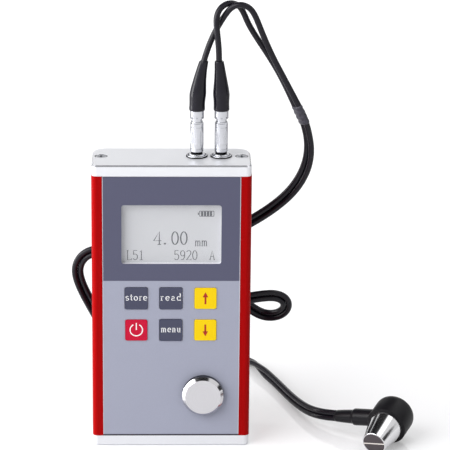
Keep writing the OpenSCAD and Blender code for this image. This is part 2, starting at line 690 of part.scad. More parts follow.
module probe_shell() color("#c4c6c9") place_probe() difference() {
    union() {
        cylinder(d1 = face_d, d2 = probe_d, h = probe_len - 1);
        translate([0, 0, probe_len - 1 - eps]) cylinder(d = probe_d, h = 1 + eps);
        translate([0, 0, probe_len - eps]) cylinder(r = neck_r, h = neck_len + eps);
    }
    translate([0, 0, -1]) cylinder(r = face_bore_r, h = probe_len + neck_len + 2);
}

// Half of the delay block: side is -1 or 1
module half_round(side, z0, h) translate([0, 0, z0]) intersection() {
    cylinder(r = face_bore_r, h = h);
    translate([side > 0 ? barrier_t / 2 : -barrier_t / 2 - 20, -20, -1]) cube([20, 40, h + 2]);
}
module delay_upper() color("#3a3634") place_probe() half_round(-1, 0, delay_len);
module delay_lower() color("#3a3634") place_probe() half_round(1, 0, delay_len);
module probe_barrier() color("#d8c9a4") place_probe() intersection() {
    cylinder(r = face_bore_r, h = delay_len + crystal_t);
    translate([-barrier_t / 2, -20, 0]) cube([barrier_t, 40, delay_len + crystal_t]);
}
module crystals() color("#d8d0bc") place_probe()
    for (s = [-1, 1]) half_round(s, delay_len, crystal_t);
module probe_backing() color("#4a4440") place_probe()
    translate([0, 0, delay_len + crystal_t])
        cylinder(r = face_bore_r, h = probe_len + neck_len - delay_len - crystal_t);

module probe_cap() color("#1e1e21") place_probe() difference() {
    round_r = 5;
    union() {
        translate([0, 0, probe_len]) cylinder(d = probe_cap_d, h = probe_cap_len - round_r);
        translate([0, 0, probe_len + probe_cap_len - round_r - eps])
            cylinder(d = probe_cap_d - 2 * round_r, h = round_r + eps);
        translate([0, 0, probe_len + probe_cap_len - round_r]) rotate_extrude()
            intersection() {
                translate([probe_cap_d / 2 - round_r, 0]) circle(round_r);
                translate([0, 0]) square([probe_cap_d, round_r]);
            }
    }
    translate([0, 0, probe_len - 1]) cylinder(r = neck_r, h = neck_len + 1);
    translate([0, relief_start, exit_s]) rotate([-90, 0, 0]) cylinder(d = relief_d, h = 20);
}

module probe_relief() color("#222226") place_probe() translate([0, 0, exit_s]) rotate([-90, 0, 0]) {
    translate([0, 0, relief_start]) cylinder(d = relief_d, h = relief_step - relief_start - 0.8);
    translate([0, 0, relief_step - 0.8]) cylinder(d1 = relief_d, d2 = relief_tip_d, h = 0.8 + eps);
    translate([0, 0, relief_step]) cylinder(d = relief_tip_d, h = relief_end - relief_step);
}

case_shell();
top_cap();
bottom_cap();
top_screws();
bottom_screws();
keypad_circuit();
keypad_spacer();
front_overlay();
snap_domes();
key_store();
key_read();
key_up();
key_power();
key_menu();
key_down();
display_bezel();
display_pane();
lcd_glass();
lcd_backlight();
test_block();
main_board();
processor_chip();
pulser_module();
cell_tray();
cell_left();
cell_right();
cell_springs();
bridge_contact();
positive_contact();
negative_contact();
cell_cover();
cover_screws();
socket_left();
socket_right();
socket_gaskets();
socket_nuts();
socket_insulators();
socket_pins();
plug_left_core();
plug_left_sleeve();
plug_left_nut();
boot_left();
plug_right_core();
plug_right_sleeve();
plug_right_nut();
boot_right();
lead_left();
lead_right();
lead_joint();
lead_pair();
probe_shell();
delay_upper();
delay_lower();
probe_barrier();
crystals();
probe_backing();
probe_cap();
probe_relief();
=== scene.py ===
"""Looks of a handheld ultrasonic thickness gauge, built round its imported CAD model.

Every length is in metres in the frame of the CAD model: +Z up, +Y to the back of the gauge.
"""

import json
import math

import bpy
import numpy as np
from bpy.props import FloatProperty, FloatVectorProperty, PointerProperty
from mathutils import Matrix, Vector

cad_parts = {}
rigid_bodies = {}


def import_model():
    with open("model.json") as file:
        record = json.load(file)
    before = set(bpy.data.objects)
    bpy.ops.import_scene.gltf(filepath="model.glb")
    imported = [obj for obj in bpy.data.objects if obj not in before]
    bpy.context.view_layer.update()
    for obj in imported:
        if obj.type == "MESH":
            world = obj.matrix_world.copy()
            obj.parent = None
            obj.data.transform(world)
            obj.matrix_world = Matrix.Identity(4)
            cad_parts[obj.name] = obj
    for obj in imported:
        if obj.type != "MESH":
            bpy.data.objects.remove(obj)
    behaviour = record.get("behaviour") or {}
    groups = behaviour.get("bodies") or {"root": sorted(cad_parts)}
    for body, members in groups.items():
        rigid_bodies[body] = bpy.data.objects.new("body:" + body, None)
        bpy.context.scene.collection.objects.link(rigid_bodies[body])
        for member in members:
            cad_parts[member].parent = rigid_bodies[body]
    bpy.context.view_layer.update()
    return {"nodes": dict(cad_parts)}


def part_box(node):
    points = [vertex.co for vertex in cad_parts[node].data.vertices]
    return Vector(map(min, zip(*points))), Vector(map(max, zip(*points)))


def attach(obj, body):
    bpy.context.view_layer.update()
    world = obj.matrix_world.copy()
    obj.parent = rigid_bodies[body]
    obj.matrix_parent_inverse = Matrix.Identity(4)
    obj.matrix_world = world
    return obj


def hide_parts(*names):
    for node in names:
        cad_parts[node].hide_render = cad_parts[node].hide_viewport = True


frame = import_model()

bl_info = {
    "name": "Thickness gauge",
    "version": (1, 0, 0),
    "blender": (4, 5, 0),
    "location": "3D View > Sidebar > Gauge",
    "description": "Dresses the CAD model of an ultrasonic thickness gauge with its leads and probe",
    "category": "Object",
}

MM = 0.001
ROOT = "gauge"

# Camera of the reference view: place and sensor in millimetres, angles in radians, focal length and
# picture in pixels, reach in metres
CAMERA_PLACE = (-6.8665, -1206.8777, 503.4078)
CAMERA_PITCH, CAMERA_YAW, CAMERA_ROLL = 0.3161, 0.0271, 0.0093
CAMERA_FOCAL_PX, FRAME_PX = 2638.33, 450
SENSOR_MM, CAMERA_REACH = 36, 30

# Lamps: name, property with its power, place, point it faces, width and height, in metres
LAMPS = (
    ("key_lamp", "key_power", (-1.1, -0.85, 1.1), (0, 0, 0.08), (1.4, 1.4)),
    ("top_lamp", "top_power", (0.4, 0.2, 1.5), (0.03, 0, 0.05), (1.3, 1.3)),
    ("rim_lamp", "rim_power", (-0.62, 0.0, 0.26), (0.02, 0, 0.2), (0.3, 0.5)))
# Dark cards: name, centre, half of the width and half of the height as vectors, in metres
CARDS = (
    ("dark_card_above", (-0.11, -0.33, 0.95), (0.68, 0, 0), (0, 0.22, 0)),
    ("dark_card_back", (-0.15, 0.5, 0.95), (0.62, 0, 0), (0, 0.75, 0)),
    ("dark_card_far_left", (-0.75, 1.2, 0.5), (0.4, 0.12, 0), (0, 0, 0.6)),
    ("dark_card_far_right", (0.8, 1.2, 0.25), (0.4, -0.12, 0), (0, 0, 0.35)),
    ("dark_card_right", (0.72, -0.08, 0.2), (0, 0.12, 0), (0, 0, 0.2)))
# How far the floor lies below z = 0, and the ranges over which it changes, in metres: its glow by the
# distance from the gauge, the dark that metal sees in it by the distance aside and by the depth
FLOOR_DROP, GLOW_RANGE, GLOW_STRENGTH = 0.00002, (0.1, 0.9), (0.26, 0.55)
DARK_MIDDLE, DARK_ASIDE, DARK_BEHIND, DARK_SHARE = 0.02, (0.1, 0.16), (0.06, 0.14), 0.4

# Routes of the leads in millimetres, the control points that part.scad gives them
ROUTE_A = [
    (15.2, 1.2, 189.6), (17.2, 2.6, 196), (20, 3.9, 202.4), (22.9, 3.9, 207.8), (25.6, 2.8, 212.4),
    (28.4, 1.5, 216.1), (32.8, 0.8, 217.4), (37, 1, 215.4), (39.4, 1.8, 211.2), (41.4, 2.9, 206),
    (44, 4.2, 199.4), (48, 5.5, 190.2), (53.4, 6.7, 180), (60.7, 7.9, 166)]
ROUTE_B = [
    (22.4, 1.2, 189.6), (22.2, 0.4, 196.6), (21.4, -0.2, 203.2), (20.9, 0.4, 208),
    (21, 1.2, 211.8), (23, 2.6, 215.5), (26.9, 4, 217.4), (31.2, 5.2, 216.2), (33.8, 6, 212.4),
    (35.6, 6.8, 207.4), (39, 7.6, 201.2), (45.6, 8.9, 191.2), (52.5, 10, 179.6),
    (59.1, 10.1, 165.2)]
SLEEVE_ENDS = [(59.9, 9, 165.6), (63.4, 9.6, 158.4)]
ROUTE_PAIR = [
    (63.4, 9.6, 158.4), (65.2, 10.6, 152.6), (66.8, 12.2, 144), (65.8, 14.4, 133.6),
    (61, 17, 122.8), (53, 19.4, 113.4), (39, 19.4, 103.6), (22, 17.6, 96), (0, 16.8, 91),
    (-18, 16.8, 89.4), (-30, 17, 89.6), (-37.6, 17.3, 89.8), (-43.2, 17.7, 86.8),
    (-46, 18.4, 81.4), (-45.8, 19.2, 75.4), (-43, 20.6, 67.4), (-37.6, 24.4, 55.4),
    (-30.6, 30.4, 40), (-24, 36, 22.6), (-17, 40.6, 8.6), (-9.4, 42.8, 1.6), (-0.6, 43.2, 1),
    (7.6, 41.6, 8.4), (12, 39, 24), (15, 35.6, 41.6), (18.8, 32.4, 55.4), (24.6, 29.8, 62.4),
    (32, 28.6, 61.8), (38.2, 28.6, 57), (43, 28.6, 53.4), (47.8, 28, 51.8), (52.6, 26, 52.8),
    (56.2, 23.4, 55.8), (57.5, 20.7, 60), (56.1, 18.4, 64.2), (51.4, 17, 66.8), (44, 16.8, 66.2),
    (33, 16.8, 64.2), (20, 16.8, 63), (4, 18.6, 60.4), (-7, 24, 52), (-12, 32, 38), (-13, 40, 22),
    (-10, 48, 8.8), (-2.4, 57, 1.2), (10, 64, 1.7), (20, 73, 1.6), (24, 86, 1.6), (17, 99, 1.6),
    (2, 105, 1.6), (-15, 102, 1.6), (-25, 90, 1.6), (-24, 75, 1.6), (-14, 64, 2.9), (0, 60, 6),
    (14, 61, 4.6), (25.6, 67, 1.4), (29.4, 75.6, 1.6), (28.6, 82.4, 1.6), (28.6, 88.6, 1.6),
    (30.2, 93.4, 1.6), (34, 96.3, 1.7), (38.8, 96.3, 1.8), (42.7, 93.4, 2.1), (44.8, 88.4, 2.7),
    (47, 81, 3.1), (50, 73.2, 3.1), (55, 59.8, 3.1), (60.4, 42.4, 3.2), (65.6, 27.4, 3.8),
    (70.4, 17, 4.8), (76.2, 10.6, 5.8), (82.33, 6.69, 6.78)]
# Turns of the pair about its own line, each a start and a span in millimetres: off the floor, towards
# the sleeve, and on edge near the probe, by x and by height. Below the middle height the first counts.
FLOOR_TURN, TOP_TURN, EDGE_X, EDGE_Z, MIDDLE_HEIGHT = (4, 20), (112, 38), (41, 9), (20, -8), 60
# Spacing of the points along the pair and along each cable, and how far a cable reaches into its boot
PAIR_STEP, CABLE_STEP, IN_BOOT = 0.0006, 0.0008, 0.002
CABLE_SIDES, SLEEVE_SIDES, SLEEVE_RINGS = 18, 40, 40

# Pose of the probe: turn about Z, tilt of its axis and roll about its axis in degrees, centre of its
# face in millimetres, and how far from the face the lead leaves it
PROBE_TURN, PROBE_TILT, PROBE_ROLL = 62, 14.931, 9
PROBE_FACE, EXIT_HEIGHT = (98.3, -26.7, 5.797), 21.5


def linear(code):
    """sRGB hex colour as linear values: each channel through the sRGB curve's inverse."""
    s = np.array([int(code[i:i + 2], 16) for i in (1, 3, 5)]) / 255
    return tuple(float(v) for v in np.where(s <= 0.04045, s / 12.92, ((s + 0.055) / 1.055) ** 2.4))


def solid(code):
    """sRGB hex colour as linear values with alpha, as a shader socket takes it."""
    return linear(code) + (1.0,)


def colour(label, code, words):
    """Colour property with its default given as sRGB hex."""
    return FloatVectorProperty(name=label, description=words, subtype="COLOR", size=3,
                               min=0, max=1, default=linear(code))


def length(label, millimetres, words):
    """Length property with its default given in millimetres."""
    return FloatProperty(name=label, description=words, subtype="DISTANCE", unit="LENGTH",
                         default=millimetres * MM, precision=5)


def power(label, watts, words):
    """Power property of a lamp."""
    return FloatProperty(name=label, description=words, subtype="POWER", unit="POWER", default=watts)


class GaugeSizes(bpy.types.PropertyGroup):
    """Sizes of the pieces that are made here."""

    cable_d: length("Cable diameter", 2.9, "Outside diameter of each cable of the lead")
    sleeve_wall: length("Sleeve wall", 0.4, "Wall of the shrink sleeve where the cables join")
    boot_d: length("Boot diameter", 8, "Diameter of a boot at its thickest place")
    ink_t: length("Ink height", 0.03, "Height of the printed ink on the keys")
    legend_h: length("Legend height", 3.5, "Height of the tall letters of the key legends")
    reading_h: length("Reading height", 6.5, "Height of the large digits in the display")


class GaugeColours(bpy.types.PropertyGroup):
    """Colours of the finishes."""

    red: colour("Body red", "#a80103", "Paint of the extruded body")
    silver: colour("Cap silver", "#e5e6ea", "Anodised end caps")
    slate: colour("Panel slate", "#505169", "Upper part of the front film")
    light: colour("Panel grey", "#a3a6b8", "Lower part of the front film")
    dark_key: colour("Dark key", "#47495e", "Print of the three dark keys")
    yellow: colour("Yellow key", "#fbd500", "Print of the two arrow keys")
    red_key: colour("Red key", "#cb0836", "Print of the power key")
    arrow: colour("Arrow ink", "#ac1602", "Arrows on the yellow keys")
    white: colour("White ink", "#fcfcfd", "Legends on the dark keys and the power key")
    lcd: colour("Display ground", "#d0d1d5", "Ground of the display")
    lcd_ink: colour("Display characters", "#454750", "Characters of the display")
    jacket: colour("Cable jacket", "#17151d", "Jacket of the cables")
    sleeve: colour("Shrink sleeve", "#3a3842", "Shrink sleeve of the lead")


class GaugeStage(bpy.types.PropertyGroup):
    """Floor and light."""

    floor: colour("Floor", "#dcdcde", "Pale floor")
    floor_size: length("Floor size", 8000, "Side of the floor")
    key_power: power("Key lamp", 27, "Power of the large lamp at the front left")
    top_power: power("Top lamp", 7, "Power of the lamp overhead")
    rim_power: power("Rim lamp", 3.4, "Power of the narrow lamp at the left")
    ambient: FloatProperty(name="Ambient", description="Strength of the light from all round",
                           default=0.38)


def unit_rows(v):
    """Rows of an array scaled to length one."""
    return v / np.linalg.norm(v, axis=-1, keepdims=True)


def spline(route, per_knot=14):
    """Uniform cubic B-spline with mirrored ends: each point is the sum of four neighbouring
    control points with the cubic B-spline weights."""
    p = np.array(route, float) * MM
    e = np.concatenate([[2 * p[0] - p[1]], p, [2 * p[-1] - p[-2]]])
    u = np.linspace(0, len(p) - 1, (len(p) - 1) * per_knot + 1)
    i = np.minimum(u.astype(int), len(p) - 2)
    t = (u - i)[:, None]
    return ((1 - t) ** 3 * e[i] + (3 * t ** 3 - 6 * t ** 2 + 4) * e[i + 1]
            + (-3 * t ** 3 + 3 * t ** 2 + 3 * t + 1) * e[i + 2] + t ** 3 * e[i + 3]) / 6


def tangent_rows(line):
    """Unit directions along a line of points, from central differences."""
    return unit_rows(np.gradient(line, axis=0))


def even(line, step):
    """The same line with its points an equal distance apart."""
    run = np.concatenate([[0], np.cumsum(np.linalg.norm(np.diff(line, axis=0), axis=1))])
    at = np.linspace(0, run[-1], int(run[-1] / step) + 1)
    return np.stack([np.interp(at, run, line[:, k]) for k in range(3)], axis=1)


def progress(values, start, span):
    """How far values have come from a start over a span, held between 0 and 1."""
    return np.clip((values - start) / span, 0, 1)


def side_rows(line, directions):
    """Which way the two cables lie beside each other, as in part.scad: square to the line and to a
    facing that turns from up, on the floor, to the back, and on to one behind the other. On the last
    stretch to the probe the facing is level, so the pair stands on edge."""
    x, z = line[:, :1] / MM, line[:, 2:3] / MM
    up, back, behind = np.array([[0, 0, 1]]), np.array([[0, 1, 0]]), np.array([[0.82, 0.57, 0]])
    facing = np.where(z < MIDDLE_HEIGHT, up + (back - up) * progress(z, *FLOOR_TURN),
                      back + (behind - back) * progress(z, *TOP_TURN))
    # The small number keeps a length above zero where the lead runs straight up
    level = unit_rows(np.cross(up, directions) + 1e-9)
    facing = facing + (level - facing) * progress(x, *EDGE_X) * progress(z, *EDGE_Z)
    return unit_rows(np.cross(directions, facing))


def bridge(a, a_dir, b, b_dir, count=10):
    """Cubic Hermite curve between two points with given directions."""
    t = np.linspace(0, 1, count)[1:-1, None]
    reach = np.linalg.norm(b - a)
    return ((2 * t ** 3 - 3 * t ** 2 + 1) * a + (t ** 3 - 2 * t ** 2 + t) * reach * a_dir
            + (3 * t ** 2 - 2 * t ** 3) * b + (t ** 3 - t ** 2) * reach * b_dir)


def put_mesh(name, points, faces, material, body=ROOT, sharp=40):
    """Mesh object at the origin from an array of points and lists of faces, riding on a body."""
    mesh = bpy.data.meshes.new(name)
    mesh.from_pydata(points.reshape(-1, 3), [], faces)
    mesh.polygons.foreach_set("use_smooth", np.ones(len(mesh.polygons), bool))
    mesh.set_sharp_from_angle(angle=math.radians(sharp))
    mesh.validate()
    mesh.update()
    piece = bpy.data.objects.new(name, mesh)
    bpy.context.scene.collection.objects.link(piece)
    mesh.materials.append(material)
    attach(piece, body)
    return piece


def ring_faces(rings, count, start=0, closed=False):
    """Quads between neighbouring rings of points, and a flat face on each end of an open run."""
    i = np.arange(rings if closed else rings - 1)[:, None]
    j = np.arange(count)[None, :]
    a, b = i * count, (i + 1) % rings * count
    k = (j + 1) % count
    quads = np.stack([a + j, a + k, b + k, b + j], axis=-1).reshape(-1, 4) + start
    faces = quads.tolist()
    if not closed:
        faces.append((np.arange(count)[::-1] + start).tolist())
        faces.append((np.arange(count) + (rings - 1) * count + start).tolist())
    return faces


def swept(line, directions, sides, section):
    """Rings of a section carried along a line: centre + q0 * side + q1 * (direction x side). The
    section is one for all rings or one per ring."""
    up = np.cross(directions, sides)
    q = np.broadcast_to(section, (len(line),) + np.shape(section)[-2:])
    return (line[:, None, :] + q[:, :, 0:1] * sides[:, None, :] + q[:, :, 1:2] * up[:, None, :])


def round_section(radius, count=20):
    """Circle of points."""
    a = np.linspace(0, 2 * np.pi, count, endpoint=False)
    return radius * np.stack([np.cos(a), np.sin(a)], axis=1)


def lathe(profile, place, count=96, flutes=0, depth=0.0):
    """Rings of a profile of (radius, height) pairs in millimetres turned about Z and moved by a
    matrix. Flutes cut the radius by depth * (1 - cos(flutes * angle)) / 2, with a depth per ring."""
    p = np.array(profile, float) * MM
    a = np.linspace(0, 2 * np.pi, count, endpoint=False)
    cut = np.reshape(depth, (-1, 1)) * MM * (1 - np.cos(flutes * a)) / 2
    r = p[:, :1] - cut
    points = np.stack([r * np.cos(a), r * np.sin(a), np.repeat(p[:, 1:], count, axis=1)], axis=-1)
    m = np.array(place)
    return points @ m[:3, :3].T + m[:3, 3]


def turned(name, profile, place, material, nodes, slot, body=ROOT, closed=False, sharp=28, **cut):
    """Lathe piece that stands for CAD nodes: a profile that runs out, up and in again; a closed one
    is a ring with its bore, an open one gets a flat face on each end."""
    rings = lathe(profile, place, **cut)
    count = rings.shape[1]
    piece = put_mesh(name, rings, ring_faces(len(rings), count, 0, closed), material, body, sharp)
    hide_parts(*nodes)
    return piece


def moved(x=0.0, y=0.0, z=0.0):
    """Matrix of a shift in millimetres."""
    return Matrix.Translation((x * MM, y * MM, z * MM))


def probe_place():
    """Pose of the probe's own frame: its face at the origin, its axis along +Z, its lead along +Y."""
    return (moved(*PROBE_FACE) @ Matrix.Rotation(math.radians(PROBE_TURN), 4, "Z")
            @ Matrix.Rotation(math.radians(90 - PROBE_TILT), 4, "Y")
            @ Matrix.Rotation(math.radians(-PROBE_ROLL), 4, "Z"))


def rounded(r0, h0, r1, h1, count=8):
    """Quarter of an ellipse in a profile, from upright at (r0, h0) to level at (r1, h1)."""
    a = np.linspace(0, np.pi / 2, count)
    return [(r1 + (r0 - r1) * math.cos(t), h0 + (h1 - h0) * math.sin(t)) for t in a]


def feed(made, inputs):
    """Gives inputs of a shader node, by name or number, a value or a link."""
    for key, value in inputs.items():
        if isinstance(value, bpy.types.NodeSocket):
            made.id_data.links.new(value, made.inputs[key])
        else:
            made.inputs[key].default_value = value


def node(tree, kind, inputs=None, **settings):
    """Adds a shader node, sets its attributes, and gives each input a value or a link."""
    made = tree.nodes.new(kind)
    for key, value in settings.items():
        setattr(made, key, value)
    feed(made, inputs or {})
    return made


def maths(tree, operation, *values, clamp=False):
    """Output of a Math node."""
    made = node(tree, "ShaderNodeMath", dict(enumerate(values)), operation=operation, use_clamp=clamp)
    return made.outputs[0]


def vectors(tree, operation, *values):
    """Output of a Vector Math node: a number for a length or a distance, or else a vector."""
    made = node(tree, "ShaderNodeVectorMath", dict(enumerate(values)), operation=operation)
    return made.outputs["Value" if operation in ("LENGTH", "DISTANCE") else "Vector"]


def ranged(tree, value, start, end, first=0.0, last=1.0, **settings):
    """Output of a Map Range node: goes from first to last while the value goes from start to end."""
    limits = {"Value": value, "From Min": start, "From Max": end, "To Min": first, "To Max": last}
    return node(tree, "ShaderNodeMapRange", limits, **settings).outputs["Result"]


def mixed(tree, factor, plain, other):
    """Output of a colour Mix node; 6 and 7 are its two colours."""
    made = node(tree, "ShaderNodeMix", {"Factor": factor, 6: plain, 7: other}, data_type="RGBA")
    return made.outputs[2]


def noise(tree, place, size_mm, detail):
    """Output of a Noise texture with grains about a size across."""
    inputs = {"Vector": place, "Scale": 1000 / size_mm, "Detail": detail}
    return node(tree, "ShaderNodeTexNoise", inputs).outputs["Fac"]


def lifted(tree, height, bump_um, strength=1.0):
    """Output of a Bump node that lifts a surface by some micrometres where a height is one."""
    inputs = {"Height": height, "Strength": strength, "Distance": bump_um * 1e-6}
    return node(tree, "ShaderNodeBump", inputs).outputs["Normal"]


def blank(name):
    """New material with a Principled shader: the material, its tree, the shader and the place."""
    made = bpy.data.materials.new(name)
    made.use_nodes = True
    tree = made.node_tree
    shader = tree.nodes["Principled BSDF"]
    place = tree.nodes.new("ShaderNodeTexCoord").outputs["Object"]
    return made, tree, shader, place


def shade(rgb, k):
    """Linear colour times k, with alpha."""
    return tuple(min(1.0, c * k) for c in rgb[:3]) + (1.0,)


def finish(name, rgb, grain_mm, tone=0.06, rough=(0.4, 0.5), smudge_mm=9, bump_um=0.0,
           stretch=(1, 1, 1), **sockets):
    """Material of one colour, given as hex or as linear values: fine grain of a size in millimetres
    varies the tone and lifts the surface by some micrometres, and broad smudges vary the roughness
    between two values."""
    made, tree, shader, place = blank(name)
    rgb = linear(rgb) if isinstance(rgb, str) else rgb
    laid = node(tree, "ShaderNodeMapping", {"Vector": place, "Scale": stretch}).outputs["Vector"]
    grain = noise(tree, laid, grain_mm, 3.0)
    toned = mixed(tree, grain, shade(rgb, 1 - tone), shade(rgb, 1 + tone))
    gloss = ranged(tree, noise(tree, place, smudge_mm, 4.0), 0.3, 0.7, *rough)
    feed(shader, {"Base Color": toned, "Roughness": gloss})
    if bump_um:
        feed(shader, {"Normal": lifted(tree, grain, bump_um)})
    feed(shader, {key.replace("_", " "): value for key, value in sockets.items()})
    return made


def heights(made, level, half):
    """Mask of the places in a material whose height is within half of a level."""
    tree = made.node_tree
    place = tree.nodes["Texture Coordinate"].outputs["Object"]
    height = node(tree, "ShaderNodeSeparateXYZ", {0: place}).outputs["Z"]
    return maths(tree, "COMPARE", height, level, half)


def swapped(made, mask, **sockets):
    """Gives sockets of a material's shader another value where a mask is one."""
    tree = made.node_tree
    for name, other in sockets.items():
        inlet = tree.nodes["Principled BSDF"].inputs[name.replace("_", " ")]
        tree.links.new(mixed(tree, mask, inlet.links[0].from_socket, other), inlet)


def seen_rays(tree):
    """Outputs of a Light Path node, and a mask of the rays that show what they meet: those of the
    camera, of gloss and of glass."""
    rays = node(tree, "ShaderNodeLightPath").outputs
    seen = maths(tree, "ADD", rays["Is Camera Ray"], rays["Is Glossy Ray"])
    return rays, maths(tree, "ADD", seen, rays["Is Transmission Ray"], clamp=True)


def stood(name, data, axes, place):
    """Camera or lamp whose own axes and place are given."""
    held = bpy.data.objects.new(name, data)
    turn = np.eye(4)
    turn[:3, :3] = np.transpose(axes)
    turn[:3, 3] = place
    held.matrix_world = Matrix(turn.tolist())
    bpy.context.scene.collection.objects.link(held)
    return held


def flat_board(name, centre, across, along, material):
    """Flat board of the stage, from its centre and two half-sides."""
    m, u, v = np.array(centre), np.array(across), np.array(along)
    mesh = bpy.data.meshes.new(name)
    mesh.from_pydata(np.array([m - u - v, m + u - v, m + u + v, m - u + v]), [], [(0, 1, 2, 3)])
    corners = np.array([(0, 0), (1, 0), (1, 1), (0, 1)], np.float32)
    mesh.uv_layers.new(name="board").uv.foreach_set("vector", corners.ravel())
    mesh.materials.append(material)
    made = bpy.data.objects.new(name, mesh)
    bpy.context.scene.collection.objects.link(made)
    return made


def middle(name):
    """Middle of the box of a CAD node."""
    return np.mean(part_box(name), axis=0)


def dress(material, *names):
    """Gives CAD nodes a material in every slot."""
    for name in names:
        cad = frame["nodes"][name]
        if not cad.material_slots:
            cad.data.materials.append(material)
        for held in cad.material_slots:
            held.material = material


class GAUGE_OT_stage(bpy.types.Operator):
    """Camera of the reference view, pale floor, three soft lamps, dark cards and a white surround"""

    bl_idname = "gauge.stage"
    bl_label = "Stage"

    def execute(self, context):
        scene = context.scene
        stage = scene.gauge_stage
        scene.view_settings.view_transform = "Standard"
        self.camera(scene)
        self.floor(stage)
        self.world(scene, stage)
        for name, power_name, place, aim, size in LAMPS:
            self.lamp(name, place, aim, size, getattr(stage, power_name))
        felt = self.felt()
        for card in CARDS:
            self.card(*card, felt)
        return {"FINISHED"}

    def camera(self, scene):
        """Camera turned by yaw, pitch and roll."""
        cp, sp = math.cos(CAMERA_PITCH), math.sin(CAMERA_PITCH)
        cy, sy = math.cos(CAMERA_YAW), math.sin(CAMERA_YAW)
        ahead = np.array([sy * cp, cy * cp, -sp])
        level = np.array([cy, -sy, 0])
        above = np.cross(level, ahead)
        right = math.cos(CAMERA_ROLL) * level + math.sin(CAMERA_ROLL) * above
        lens = bpy.data.cameras.new("camera")
        lens.sensor_width = SENSOR_MM
        lens.lens = CAMERA_FOCAL_PX / FRAME_PX * SENSOR_MM
        lens.clip_end = CAMERA_REACH
        axes = [right, np.cross(right, ahead), -ahead]
        scene.camera = stood("camera", lens, axes, np.array(CAMERA_PLACE) * MM)

    def card(self, name, centre, across, along, felt):
        """Dark card of the studio that only reflections see: it gives bright metal its dark bands."""
        made = flat_board(name, centre, across, along, felt)
        for rays in ("camera", "diffuse", "shadow", "transmission", "volume_scatter"):
            setattr(made, "visible_" + rays, False)

    def felt(self):
        """Black felt that thins out smoothly towards the card's border, so that a gloss floor shows no
        edge."""
        made, tree, shader, _ = blank("black_felt")
        made.surface_render_method = "BLENDED"
        across = node(tree, "ShaderNodeTexCoord").outputs["UV"]
        from_middle = vectors(tree, "DISTANCE", across, (0.5, 0.5, 0))
        cover = ranged(tree, from_middle, 0.36, 0.52, 1.0, 0.0, interpolation_type="SMOOTHSTEP")
        feed(shader, {"Base Color": solid("#1a1a1c"), "Roughness": 0.95, "Alpha": cover})
        return made

    def floor(self, stage):
        """Flat square under the gauge: white gloss board with its shadow, and a glow that rises with
        the distance from the gauge, so that the far floor is as white as the surround."""
        made, tree, shader, place = blank("white_laminate_board")
        cloud = node(tree, "ShaderNodeTexNoise", {"Vector": place, "Scale": 6.0, "Detail": 2.0})
        tone = mixed(tree, cloud.outputs["Fac"], shade(stage.floor, 0.985), shade(stage.floor, 1.0))
        rays, seen = seen_rays(tree)
        # Metal sees the board as dark at both sides behind the gauge, as with cards laid there
        axis = node(tree, "ShaderNodeSeparateXYZ", {0: place}).outputs
        aside = maths(tree, "ABSOLUTE", maths(tree, "ADD", axis["X"], -DARK_MIDDLE))
        dark = maths(tree, "MULTIPLY", ranged(tree, aside, *DARK_ASIDE, last=DARK_SHARE),
                     ranged(tree, axis["Y"], *DARK_BEHIND))
        dark = maths(tree, "MULTIPLY", dark, rays["Is Glossy Ray"])
        kept = maths(tree, "SUBTRACT", 1.0, dark)
        feed(shader, {"Base Color": vectors(tree, "MULTIPLY", tone, kept), "Roughness": 0.1})
        rise = ranged(tree, vectors(tree, "LENGTH", place), *GLOW_RANGE, *GLOW_STRENGTH)
        glow = maths(tree, "MULTIPLY", maths(tree, "MULTIPLY", seen, rise), kept)
        light = node(tree, "ShaderNodeEmission", {"Strength": glow})
        both = node(tree, "ShaderNodeAddShader", {0: shader.outputs[0], 1: light.outputs[0]})
        feed(tree.nodes["Material Output"], {"Surface": both.outputs[0]})
        half = stage.floor_size / 2
        flat_board("floor", (0, 0, -FLOOR_DROP), (half, 0, 0), (0, half, 0), made)

    def world(self, scene, stage):
        """White surround at full strength to the eye and in reflections, softer as a light."""
        scene.world = bpy.data.worlds.new("white_room")
        scene.world.use_nodes = True
        tree = scene.world.node_tree
        strength = ranged(tree, seen_rays(tree)[1], 0.0, 1.0, stage.ambient, 1.0)
        feed(tree.nodes["Background"], {"Color": (1, 1, 1, 1), "Strength": strength})

    def lamp(self, name, place, aim, size, watts):
        """Soft lamp of a width and a height that faces a point."""
        light = bpy.data.lights.new(name, "AREA")
        light.shape = "RECTANGLE"
        light.size, light.size_y = size
        light.energy = watts
        back = unit_rows(np.array(place) - np.array(aim))
        across = unit_rows(np.cross((0, 0, 1), back))
        stood(name, light, [across, np.cross(back, across), back], place)


